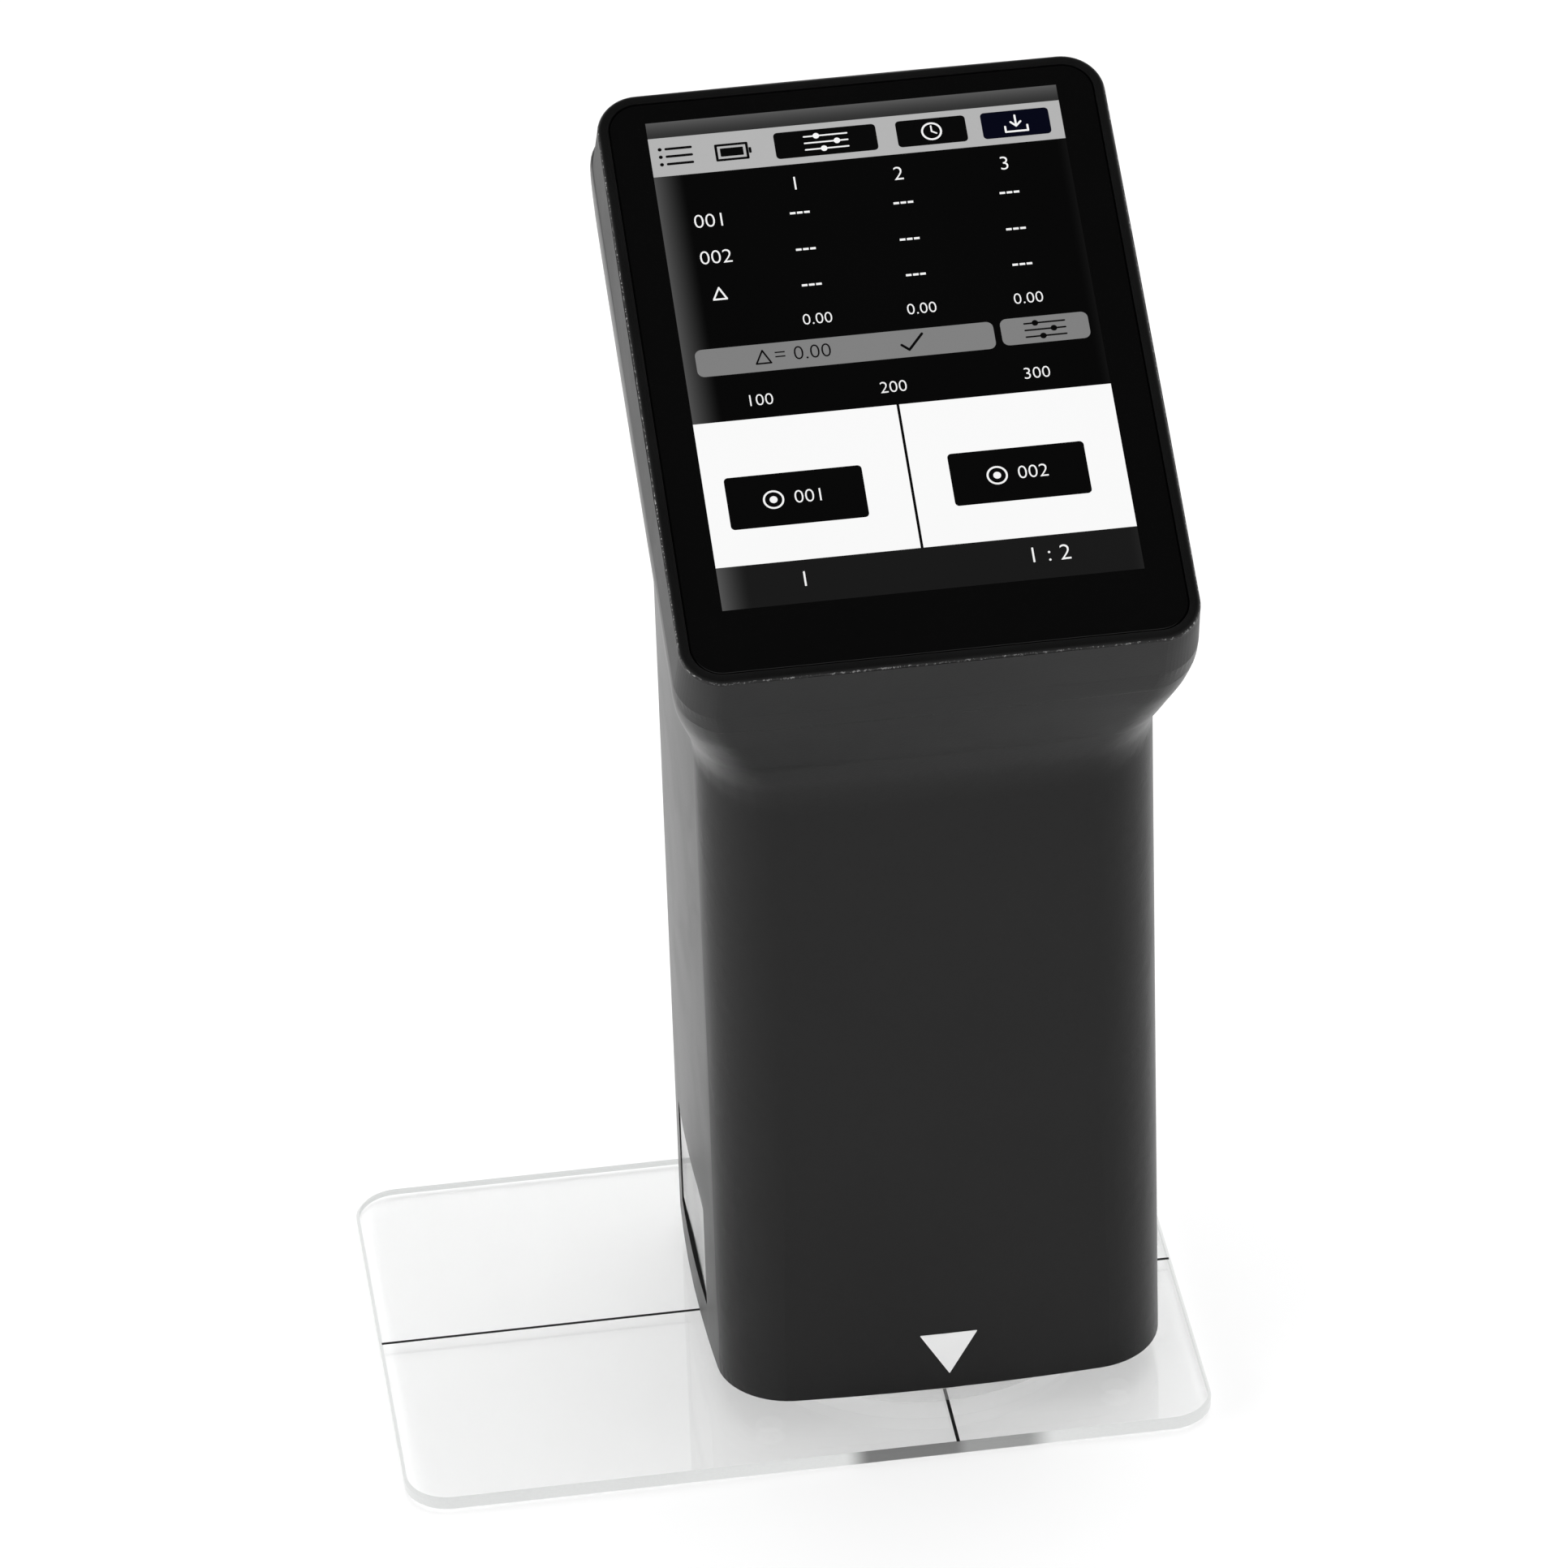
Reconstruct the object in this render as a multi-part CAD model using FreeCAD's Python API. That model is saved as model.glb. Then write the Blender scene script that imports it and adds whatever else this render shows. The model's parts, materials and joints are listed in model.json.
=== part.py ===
"""Hand-held colorimeter on its clear locating plate, one STEP file per piece, in millimetres.

Frame: the origin is the centre of the measuring aperture on the sample plane, +Z is up, the display
faces up and towards -Y, and the long end of the locating plate points to -X.
"""
import FreeCAD
import Part
import math
import os

V = FreeCAD.Vector
X_AXIS = V(1, 0, 0)
Y_AXIS = V(0, 1, 0)
Z_AXIS = V(0, 0, 1)

# Locating plate
PLATE_LEFT = 73.5
PLATE_RIGHT = 35.0
PLATE_DEPTH = 71.5
PLATE_THICK = 2.0
PLATE_CORNER = 6.0
PLATE_HOLE_FIT = 0.5
RING_WIDTH = 1.2
RING_HEIGHT = 1.0
RING_FIT = 0.5

# Round foot and measuring nose
COLLAR_R = 24.5
COLLAR_HEIGHT = 3.8
COLLAR_CHAMFER = 0.6
SEAT_GAP = 0.2
NOSE_R = 12.5
NOSE_WALL = 1.2
NOSE_LIP = 1.2
NOSE_FIT = 0.1
APERTURE_R = 4.0
WINDOW_THICK = 1.0
WINDOW_DEPTH = 1.5
WINDOW_LEDGE = 1.6
WINDOW_FIT = 0.05

# Grip and neck
GRIP_WIDTH = 61.0
GRIP_DEPTH = 57.5
GRIP_CORNER = 10.0
GRIP_CROWN = 1.6
GRIP_HEIGHT = 92.7
WALL = 2.2
CHIN_OVERHANG = 8.6
CHIN_HEIGHT = 22.0
NECK_BEND_FRONT = 8.0
NECK_BEND_SIDE = 3.0
NECK_STEPS = 6
BEND_STEPS = 4
SIDE_POINTS = 7

# Head, seen square to the glass
HEAD_TILT = 28.0
HEAD_CROWN = 0.1
GLASS_CORNER = 4.0
GLASS_THICK = 1.1
GLASS_FIT = 0.1
RIM_WIDTH = 1.5
RIM_RISE = 0.4
RIM_CHAMFER = 0.7
RIM_STEP = 0.6
RIM_FIT = 0.1
SKIRT_HEIGHT = 8.0
SKIRT_FLARE = 0.4
FLANGE_THICK = 1.5
LIP_DEPTH = 1.6
LIP_THICK = 1.0
LIP_FIT = 0.45
SKIRT_SCREW_SPACING = 44.0

# Display stack
GASKET_THICK = 0.4
GASKET_INSET = 0.3
PANEL_WIDTH = 55.4
PANEL_LENGTH = 77.2
PANEL_THICK = 2.6
PANEL_FIT = 0.3
PANEL_TOP_LEDGE = 0.35
PANEL_HEAD_GAP = 0.05
BRACKET_THICK = 0.8
BRACKET_MARGIN = 1.0
RAIL_LENGTH = 60.0
RAIL_WIDTH = 1.5
RAIL_GAP = 0.45
FLEX_WIDTH = 18.0
FLEX_THICK = 0.3
FLEX_BEND = 1.2
FLEX_LOOP = 2.3

# Main board
BOARD_THICK = 1.6
BOARD_SIDE_IN = 1.2
BOARD_CHIN_IN = 3.4
BOARD_TOP_IN = 9.7
STANDOFF_R = 2.2
STANDOFF_LENGTH = 5.5
STANDOFF_INSET = 3.2
CHIP_SIZE = 14.0
CHIP_HEIGHT = 1.4
PLUG_WIDTH = 20.0
PLUG_LENGTH = 4.5
PLUG_HEIGHT = 1.4

# Base cover and screws
BASE_THICK = 3.0
BASE_FIT = 0.15
BOSS_R = 3.0
BOSS_BITE = 0.4
BOSS_HEIGHT = 12.0
SCREW_R = 1.0
SMALL_SCREW_R = 0.8
HEAD_RATIO = 1.9
HEAD_DEPTH_RATIO = 1.3
DRIVE_RATIO = 0.9
SCREW_FIT = 0.05
THROUGH_FIT = 0.15
HEAD_FIT = 0.2
SCREW_GRIP = 6.0
SMALL_SCREW_GRIP = 3.5
SCREW_TIP = 0.8

# Mixing sphere
SPHERE_ROOM = 3.7
SPHERE_WALL = 3.0
SPHERE_FLOOR = 1.5
SPHERE_ROOF = 2.0
SAMPLE_PORT_R = 9.0
EAR_R = 3.6
EAR_GAP = 0.3
EAR_THICK = 3.0
OPTICS_SCREW_COUNT = 3
OPTICS_WEB = 0.6
OPTICS_FOOT = 3.0
OPTICS_FOOT_HEIGHT = 3.5

# Light source
LED_R = 2.4
LED_LENGTH = 4.0
LED_FIT = 0.2
LAMP_SEAT_WIDTH = 14.0
LAMP_SEAT_MARGIN = 2.75
LAMP_SEAT_OUT = 2.0
LAMP_BOARD_MARGIN = 1.0
SMALL_BOARD_THICK = 1.2

# Viewing optics
VIEW_ANGLE = 8.0
TUBE_R = 6.0
TUBE_WALL = 1.4
TUBE_LENGTH = 15.0
TUBE_STOP = 1.0
VIEW_PORT_R = 3.2
LENS_THICK = 1.6
LENS_BULGE = 0.9
LENS_DOWN = 7.0
LENS_FIT = 0.05
TUBE_FLANGE_WIDTH = 24.0
TUBE_FLANGE_DEPTH = 9.0
TUBE_FLANGE_THICK = 2.5
TUBE_SCREW_IN = 2.6
SENSOR_SIZE = 5.0
SENSOR_HEIGHT = 1.0
SENSOR_BOARD_DEPTH = 18.0
CABLE_WIDTH = 10.0
CABLE_THICK = 0.5
CABLE_BEND = 6.0
CABLE_FIRST_RUN = 9.0
CABLE_LAST_RUN = 12.0

# Battery
BATTERY_THICK = 9.5
BATTERY_CORNER = 2.0
BATTERY_PAD = 1.0
BATTERY_ABOVE_SPHERE = 11.5
BATTERY_BELOW_NECK = 1.0
BATTERY_BOSS_R = 2.8
BATTERY_SIDE_GAP = 0.5
BATTERY_BOSS_END = 9.0
CRADLE_THICK = 1.5
CRADLE_MARGIN = 0.6
CRADLE_SIDE_GAP = 3.6
CRADLE_SHELF_WIDTH = 20.0
CRADLE_SHELF_OUT = 7.0

# Side door and charging socket
DOOR_WIDTH = 23.8
DOOR_THICK = 1.6
DOOR_INSET = 0.4
DOOR_SIDE_GAP = 0.4
DOOR_SLIT = 1.2
WELL_FOOT = 5.7
WELL_HEIGHT = 16.6
WELL_DEPTH = 4.3
WELL_WALL = 1.5
KNUCKLE_R = 1.3
PIN_R = 0.5
PIN_RUNNING_FIT = 0.05
PIN_GRIP = 1.2
PIN_PRESS_FIT = 0.02
SOCKET_WIDTH = 9.0
SOCKET_HEIGHT = 3.4
SOCKET_SHELL = 0.35
SOCKET_PROUD = 0.8
SOCKET_FIT = 0.2
TONGUE_WIDTH = 6.6
TONGUE_THICK = 0.7
TONGUE_SHORT = 1.0
CHARGE_STANDOFF = 2.3
CHARGE_BOARD_WIDTH = 22.0
CHARGE_BOARD_HEIGHT = 14.0
CHARGE_SCREW_IN = 2.4
CHARGE_BOSS_R = 1.8

# Push keys
MEASURE_KEY_WIDTH = 15.0
MEASURE_KEY_HEIGHT = 24.0
MEASURE_KEY_CORNER = 5.0
MEASURE_KEY_DOWN = 16.7
POWER_KEY_SIZE = 8.0
POWER_KEY_FLAT = 0.4
POWER_KEY_DOWN = 11.7
KEY_GAP = 0.3
KEY_PROUD = 1.2
KEY_EDGE = 0.6
KEY_TRAVEL = 1.2
KEY_FLANGE_OUT = 1.5
KEY_FLANGE_THICK = 1.2
KEY_FLANGE_GAP = 0.5
KEY_STEM_R = 2.2
KEY_STEM_LENGTH = 1.6
KEY_STOP_GAP = 0.3
SWITCH_SIZE = 6.0
SWITCH_HEIGHT = 3.5
PLUNGER_R = 1.7
PLUNGER_HEIGHT = 1.5
KEY_BOSS_R = 2.6
KEY_BOSS_GAP = 0.5
KEY_BOARD_HEIGHT = 12.0

# Levels and half sizes that follow from the sizes above
collar_low = PLATE_THICK + SEAT_GAP
grip_low = collar_low + COLLAR_HEIGHT
grip_top = grip_low + GRIP_HEIGHT
base_top = grip_low + BASE_THICK
half_w = GRIP_WIDTH / 2
half_d = GRIP_DEPTH / 2
inner_d = half_d - WALL
head_r = SCREW_R * HEAD_RATIO
head_h = SCREW_R * HEAD_DEPTH_RATIO
head_wall = WALL + LIP_FIT + LIP_THICK
glass_over_wall = head_wall - SKIRT_FLARE - RIM_WIDTH - GLASS_FIT
glass_half_w = PANEL_WIDTH / 2 + PANEL_FIT + RAIL_WIDTH + RAIL_GAP + glass_over_wall
chin_ledge = 2 * head_r + PANEL_HEAD_GAP
top_ledge = PANEL_FIT + PANEL_TOP_LEDGE
glass_half_l = (PANEL_LENGTH + chin_ledge + top_ledge) / 2 + glass_over_wall
rim_half_w = glass_half_w + GLASS_FIT + RIM_WIDTH
rim_half_l = glass_half_l + GLASS_FIT + RIM_WIDTH
rim_corner = GLASS_CORNER + GLASS_FIT + RIM_WIDTH
seam_half_w = rim_half_w + SKIRT_FLARE
seam_half_l = rim_half_l + SKIRT_FLARE
seam_corner = rim_corner + SKIRT_FLARE
tilt = math.radians(HEAD_TILT)
glass_low = -GLASS_THICK
flange_top = glass_low - GASKET_THICK
flange_low = flange_top - FLANGE_THICK
chin_seat = flange_top - head_h - HEAD_FIT
panel_low = glass_low - PANEL_THICK
bracket_low = panel_low - BRACKET_THICK
board_top = bracket_low - STANDOFF_LENGTH
board_low = board_top - BOARD_THICK
lip_low = -SKIRT_HEIGHT - LIP_DEPTH
rim_low = RIM_RISE - RIM_CHAMFER

# The head's own frame: x across, y along the glass, z square to the glass, origin at the glass centre
head_y = -(half_d + CHIN_OVERHANG) + seam_half_l * math.cos(tilt) - SKIRT_HEIGHT * math.sin(tilt)
head_z = grip_top + CHIN_HEIGHT + seam_half_l * math.sin(tilt) + SKIRT_HEIGHT * math.cos(tilt)
HEAD = FreeCAD.Placement(V(0, head_y, head_z), FreeCAD.Rotation(X_AXIS, HEAD_TILT))
chin_inside = -(seam_half_l - head_wall)
panel_start = chin_inside + chin_ledge
panel_end = panel_start + PANEL_LENGTH
board_half = PANEL_WIDTH / 2 - BOARD_SIDE_IN
board_start = panel_start + BOARD_CHIN_IN
board_end = panel_end - BOARD_TOP_IN

# Side door levels
well_low = grip_low + WELL_FOOT
well_top = well_low + WELL_HEIGHT
well_floor = half_w - WELL_DEPTH
door_top = well_top - DOOR_SIDE_GAP
door_low = well_low + DOOR_SLIT
door_face = half_w - DOOR_INSET
pin_x = -(door_face - KNUCKLE_R)
pin_z = door_top - KNUCKLE_R
well_half = DOOR_WIDTH / 2 + DOOR_SIDE_GAP
charge_face = well_floor - WELL_WALL - CHARGE_STANDOFF
socket_z = (well_low + well_top) / 2

# Optics levels
block_r = charge_face - SMALL_BOARD_THICK - SPHERE_ROOM
sphere_r = block_r - SPHERE_WALL
sphere_z = base_top + SPHERE_FLOOR + sphere_r
roof_z = sphere_z + sphere_r + SPHERE_ROOF
optics_at = NOSE_R + NOSE_FIT + OPTICS_WEB + HEAD_FIT + head_r
ear_at = block_r + head_r + EAR_GAP
lamp_z = (sphere_z + roof_z) / 2
lamp_half = (roof_z - sphere_z) / 2 - LAMP_SEAT_MARGIN
view = math.radians(VIEW_ANGLE)
tube_end = roof_z / math.cos(view) + TUBE_LENGTH
VIEW_AXIS = FreeCAD.Placement(V(0, 0, 0), FreeCAD.Rotation(X_AXIS, -VIEW_ANGLE))

# Battery levels
battery_low = roof_z + BATTERY_ABOVE_SPHERE
battery_height = grip_top - BATTERY_BELOW_NECK - battery_low
battery_front = -(inner_d - BATTERY_PAD)
battery_back = battery_front + BATTERY_THICK
cradle_back = battery_back + CRADLE_THICK
cradle_half = half_w - WALL - CRADLE_SIDE_GAP
battery_boss_x = cradle_half - CRADLE_MARGIN - BATTERY_BOSS_R
battery_width = 2 * (battery_boss_x - BATTERY_BOSS_R - BATTERY_SIDE_GAP)
battery_mid = battery_low + battery_height / 2
battery_boss_rise = battery_height / 2 - BATTERY_BOSS_END / 2


def box(x0, x1, y0, y1, z0, z1):
    """Box between two corners."""
    return Part.makeBox(x1 - x0, y1 - y0, z1 - z0, V(x0, y0, z0))


def rod(radius, z0, z1, x=0.0, y=0.0):
    """Upright cylinder between two levels."""
    return Part.makeCylinder(radius, z1 - z0, V(x, y, z0))


def rod_y(radius, y0, y1, x, z):
    """Cylinder along Y."""
    return Part.makeCylinder(radius, y1 - y0, V(x, y0, z), Y_AXIS)


def rod_x(radius, x0, x1, y, z):
    """Cylinder along X."""
    return Part.makeCylinder(radius, x1 - x0, V(x0, y, z), X_AXIS)


def placed(shape, placement):
    """Copy of a shape moved by a placement."""
    moved = shape.copy()
    moved.Placement = placement.multiply(moved.Placement)
    return moved


def fused(shapes):
    """Union of a list of shapes."""
    joined = shapes[0].multiFuse(shapes[1:]) if len(shapes) > 1 else shapes[0]
    return joined.removeSplitter()


def rounded_box(width, length, z0, z1, corner):
    """Upright box centred on the origin, with rounded upright edges."""
    solid = box(-width / 2, width / 2, -length / 2, length / 2, z0, z1)
    upright = [e for e in solid.Edges if abs(e.Vertexes[0].Z - e.Vertexes[1].Z) > (z1 - z0) / 2]
    return solid.makeFillet(corner, upright)


def screw(radius, length):
    """Pan screw: head below z = 0, shank up to z = length, with a round drive recess."""
    deep = radius * HEAD_DEPTH_RATIO
    solid = rod(radius * HEAD_RATIO, -deep, 0).fuse(rod(radius, 0, length))
    return solid.cut(rod(radius * DRIVE_RATIO, -deep, -deep / 2)).removeSplitter()


def screws(radius, length, spots, direction):
    """Group of equal screws whose heads seat at the given spots."""
    turn = FreeCAD.Rotation(Z_AXIS, direction)
    return Part.makeCompound([placed(screw(radius, length), FreeCAD.Placement(s, turn)) for s in spots])


def small_screw_length(clamped):
    """Shank of a small screw that clamps a given thickness and stops short of its hole's end."""
    return clamped + SMALL_SCREW_GRIP - SCREW_TIP


def side_radius(half_chord, sag):
    """Radius of a shallow side from its half chord and its sag."""
    return (half_chord ** 2 + sag ** 2) / (2 * sag)


class Outline:
    """Rounded rectangle with slightly crowned sides, in eight pieces of points."""

    def __init__(self, half_width, half_length, sag, corner, inset=0.0):
        self.w = half_width - inset
        self.l = half_length - inset
        self.side_r = side_radius(half_length, sag) - inset
        self.end_r = side_radius(half_width, sag) - inset
        self.corner = corner - inset
        self.corner_x, self.corner_y = self.corner_centre()

    def corner_centre(self):
        """Centre of the corner arc that touches both crowned sides."""
        ax = self.w - self.side_r
        by = self.l - self.end_r
        ra = self.side_r - self.corner
        rb = self.end_r - self.corner
        gap = math.hypot(ax, by)
        along = (ra ** 2 - rb ** 2 + gap ** 2) / (2 * gap)
        off = math.sqrt(ra ** 2 - along ** 2)
        ux, uy = -ax / gap, by / gap
        return ax + along * ux - off * uy, along * uy + off * ux

    def pieces(self):
        """Points of the eight pieces, counter-clockwise from the right-hand side."""
        lean_side = math.atan2(self.corner_y, self.corner_x - (self.w - self.side_r))
        lean_end = math.atan2(self.corner_x, self.corner_y - (self.l - self.end_r))
        right = arc_points(self.w - self.side_r, 0, self.side_r, -lean_side, lean_side)
        turn = arc_points(self.corner_x, self.corner_y, self.corner, lean_side, math.pi / 2 - lean_end)
        end = arc_points(0, self.l - self.end_r, self.end_r, math.pi / 2 - lean_end, math.pi / 2 + lean_end)
        second = [(-x, y) for x, y in reversed(turn)]
        half = [right, turn, end, second]
        return half + [[(-x, -y) for x, y in piece] for piece in half]

    def wire(self, lift):
        """Closed wire of the outline, with each point lifted into space."""
        return points_wire([[lift(x, y) for x, y in piece] for piece in self.pieces()])


def arc_points(cx, cy, radius, start, stop):
    """Evenly spaced points on an arc."""
    angles = [start + (stop - start) * i / (SIDE_POINTS - 1) for i in range(SIDE_POINTS)]
    return [(cx + radius * math.cos(a), cy + radius * math.sin(a)) for a in angles]


def points_wire(pieces):
    """Closed wire of one smooth curve per piece."""
    edges = []
    for points in pieces:
        curve = Part.BSplineCurve()
        curve.interpolate(points)
        edges.append(curve.toShape())
    return Part.Wire(edges)


def prism(outline, z0, z1):
    """Upright solid of an outline."""
    face = Part.Face(outline.wire(lambda x, y: V(x, y, z0)))
    return face.extrude(V(0, 0, z1 - z0))


def tapered(low, z0, high, z1):
    """Straight-sided solid between two outlines."""
    wires = [low.wire(lambda x, y: V(x, y, z0)), high.wire(lambda x, y: V(x, y, z1))]
    return Part.makeLoft(wires, True, True)


def grip_outline(inset=0.0):
    """Cross-section of the grip."""
    return Outline(half_w, half_d, GRIP_CROWN, GRIP_CORNER, inset)


def seam_outline(inset=0.0):
    """Outline of the head at the seam."""
    return Outline(seam_half_w, seam_half_l, HEAD_CROWN, seam_corner, inset)


def rim_outline(inset=0.0):
    """Outline of the head round the top of the skirt."""
    return Outline(rim_half_w, rim_half_l, HEAD_CROWN, rim_corner, inset)


def glass_outline(inset=0.0):
    """Outline of the cover glass."""
    return Outline(glass_half_w, glass_half_l, HEAD_CROWN, GLASS_CORNER, inset)


def neck_level(y):
    """Height at which the neck runs out on the grip. It climbs to the back, like the tilted head."""
    return grip_top + (y + half_d) * math.tan(tilt)


def grip_body(inset=0.0):
    """Upright grip from its foot to the slanted end of the neck."""
    outline = grip_outline(inset)
    foot = outline.wire(lambda x, y: V(x, y, grip_low))
    top = outline.wire(lambda x, y: V(x, y, neck_level(y)))
    return Part.makeLoft([foot, top], True, True)


def neck(inset=0.0):
    """Flared neck that carries on from the skirt, with a short bend into the upright grip."""
    outlines = (rim_outline(inset), seam_outline(inset), grip_outline(inset))
    sides = []
    for matching in zip(*(outline.pieces() for outline in outlines)):
        sides.append([neck_points(rim, top, low) for rim, top, low in zip(*matching)])
    places = [(flare, step / NECK_STEPS) for step in range(NECK_STEPS + 1)]
    places += [(bend, (step + 1) / BEND_STEPS) for step in range(BEND_STEPS)]
    wires = [points_wire([[curve(points, t) for points in side] for side in sides]) for curve, t in places]
    return Part.makeLoft(wires, True, False)


def neck_points(rim, top, low):
    """Points that steer one line down the neck, from matching points of its three outlines.

    They are the seam, the way it is left, the start of the bend, the corner that the bend rounds and
    its end on the grip.
    """
    seam = HEAD.multVec(V(top[0], top[1], -SKIRT_HEIGHT))
    leave = (seam - HEAD.multVec(V(rim[0], rim[1], rim_low))).normalize()
    end = V(low[0], low[1], neck_level(low[1]))
    frontness = max(0.0, 1 - (low[1] + half_d) / GRIP_CORNER)
    half_bend = (NECK_BEND_SIDE + (NECK_BEND_FRONT - NECK_BEND_SIDE) * frontness) / 2
    corner = end + V(0, 0, half_bend)
    start = corner + (seam - corner).normalize() * half_bend
    return seam, leave, start, corner, end


def flare(points, t):
    """Point on the flared side, which leaves the seam in line with the skirt."""
    seam, leave, start, corner, _ = points
    reach = seam.distanceToPoint(start)
    away = leave * reach
    home = (corner - start).normalize() * reach
    h00 = 2 * t ** 3 - 3 * t ** 2 + 1
    h10 = t ** 3 - 2 * t ** 2 + t
    h01 = 3 * t ** 2 - 2 * t ** 3
    h11 = t ** 3 - t ** 2
    return seam * h00 + away * h10 + start * h01 + home * h11


def bend(points, t):
    """Point on the short bend into the grip."""
    _, _, start, corner, end = points
    return start * (1 - t) ** 2 + corner * (2 * t * (1 - t)) + end * t ** 2


def base_boss_spots():
    """Centres of the four corner bosses of the grip."""
    inner = grip_outline(WALL)
    out = (inner.corner - BOSS_R + BOSS_BITE) / math.sqrt(2)
    x = inner.corner_x + out
    y = inner.corner_y + out
    return [(sx * x, sy * y) for sx in (-1, 1) for sy in (-1, 1)]


def skirt_screw_spots():
    """Chin screw centres in the head's frame."""
    y = chin_inside + head_r
    return [(sx * SKIRT_SCREW_SPACING / 2, y) for sx in (-1, 1)]


def battery_boss_spots():
    """Centres, across and up, of the battery bracket's bosses."""
    heights = (battery_mid - battery_boss_rise, battery_mid + battery_boss_rise)
    return [(sx * battery_boss_x, z) for sx in (-1, 1) for z in heights]


def charge_screw_spots():
    """Centres, along Y and up, of the charge board's screws."""
    return [(sy * (CHARGE_BOARD_WIDTH / 2 - CHARGE_SCREW_IN), socket_z) for sy in (-1, 1)]


class Key:
    """Push key in a wall. Its own z points out of the wall and is zero on the outer surface."""

    def __init__(self, width, height, corner, placement):
        self.width = width
        self.height = height
        self.corner = corner
        self.placement = placement
        self.flange_top = -WALL - KEY_FLANGE_GAP
        self.stem_low = self.flange_top - KEY_FLANGE_THICK - KEY_STEM_LENGTH
        self.board_top = self.stem_low - KEY_TRAVEL - KEY_STOP_GAP - PLUNGER_HEIGHT - SWITCH_HEIGHT
        self.board_low = self.board_top - SMALL_BOARD_THICK
        self.boss_x = width / 2 + KEY_FLANGE_OUT + KEY_BOSS_GAP + KEY_BOSS_R

    def cap(self):
        """Cap with a retaining flange and a stem."""
        body = rounded_box(self.width, self.height, self.flange_top, KEY_PROUD, self.corner)
        rim = [e for e in body.Edges if min(v.Z for v in e.Vertexes) > KEY_PROUD - KEY_EDGE]
        body = body.makeFillet(KEY_EDGE, rim)
        wide = rounded_box(self.width + 2 * KEY_FLANGE_OUT, self.height + 2 * KEY_FLANGE_OUT,
                           self.flange_top - KEY_FLANGE_THICK, self.flange_top, self.corner)
        stem = rod(KEY_STEM_R, self.stem_low, self.flange_top - KEY_FLANGE_THICK)
        return placed(fused([body, wide, stem]), self.placement)

    def opening(self):
        """Hole in the wall that the cap slides in."""
        grow = 2 * KEY_GAP
        hole = rounded_box(self.width + grow, self.height + grow, self.flange_top, KEY_PROUD,
                           self.corner + KEY_GAP)
        return placed(hole, self.placement)

    def screw_spots(self):
        """Screw seats on the inner face of the board."""
        spots = [V(sx * self.boss_x, 0, self.board_low) for sx in (-1, 1)]
        return [self.placement.multVec(s) for s in spots]

    def bosses(self):
        """Wall bosses that carry the board, with their screw holes."""
        made = []
        for sx in (-1, 1):
            post = rod(KEY_BOSS_R, self.board_top, -WALL / 2, sx * self.boss_x)
            hole = rod(SMALL_SCREW_R + SCREW_FIT, self.board_top, self.board_top + SMALL_SCREW_GRIP,
                       sx * self.boss_x)
            made.append(placed(post.cut(hole), self.placement))
        return made

    def board(self):
        """Small board with the switch that the stem presses."""
        wide = self.boss_x + KEY_BOSS_R
        half = SWITCH_SIZE / 2
        hole_r = SMALL_SCREW_R + THROUGH_FIT
        plate = box(-wide, wide, -KEY_BOARD_HEIGHT / 2, KEY_BOARD_HEIGHT / 2, self.board_low, self.board_top)
        for sx in (-1, 1):
            plate = plate.cut(rod(hole_r, self.board_low, self.board_top, sx * self.boss_x))
        body_top = self.board_top + SWITCH_HEIGHT
        body = box(-half, half, -half, half, self.board_top, body_top)
        plunger = rod(PLUNGER_R, body_top, body_top + PLUNGER_HEIGHT)
        return placed(fused([plate, body, plunger]), self.placement)

    def fixing(self):
        """Screws that hold the board on its bosses."""
        outward = self.placement.Rotation.multVec(Z_AXIS)
        return screws(SMALL_SCREW_R, small_screw_length(SMALL_BOARD_THICK), self.screw_spots(), outward)


def measure_key():
    """Measuring key on the back of the grip."""
    spot = V(0, half_d, grip_top - MEASURE_KEY_DOWN)
    turn = FreeCAD.Rotation(X_AXIS, -90)
    return Key(MEASURE_KEY_WIDTH, MEASURE_KEY_HEIGHT, MEASURE_KEY_CORNER, FreeCAD.Placement(spot, turn))


def power_key():
    """Power key on the right side of the grip."""
    spot = V(half_w, 0, grip_top - POWER_KEY_DOWN)
    turn = FreeCAD.Rotation(Y_AXIS, 90)
    corner = POWER_KEY_SIZE / 2 - POWER_KEY_FLAT
    return Key(POWER_KEY_SIZE, POWER_KEY_SIZE, corner, FreeCAD.Placement(spot, turn))


def locating_plate():
    """Clear plate with rounded corners and a hole for the nose."""
    width = PLATE_LEFT + PLATE_RIGHT
    slab = rounded_box(width, PLATE_DEPTH, 0, PLATE_THICK, PLATE_CORNER)
    slab.translate(V((PLATE_RIGHT - PLATE_LEFT) / 2, 0, 0))
    return slab.cut(rod(NOSE_R + PLATE_HOLE_FIT, 0, PLATE_THICK))


def plate_ring():
    """Clear ring bonded on the plate round the instrument's foot."""
    inside = COLLAR_R + RING_FIT
    top = PLATE_THICK + RING_HEIGHT
    return rod(inside + RING_WIDTH, PLATE_THICK, top).cut(rod(inside, PLATE_THICK, top))


def port_collar():
    """Round foot between the grip and the plate."""
    disc = rod(COLLAR_R, collar_low, grip_low)
    lower = [e for e in disc.Edges if max(v.Z for v in e.Vertexes) < collar_low + COLLAR_CHAMFER]
    disc = disc.makeChamfer(COLLAR_CHAMFER, lower)
    return disc.cut(rod(NOSE_R + NOSE_FIT, collar_low, grip_low))


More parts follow.
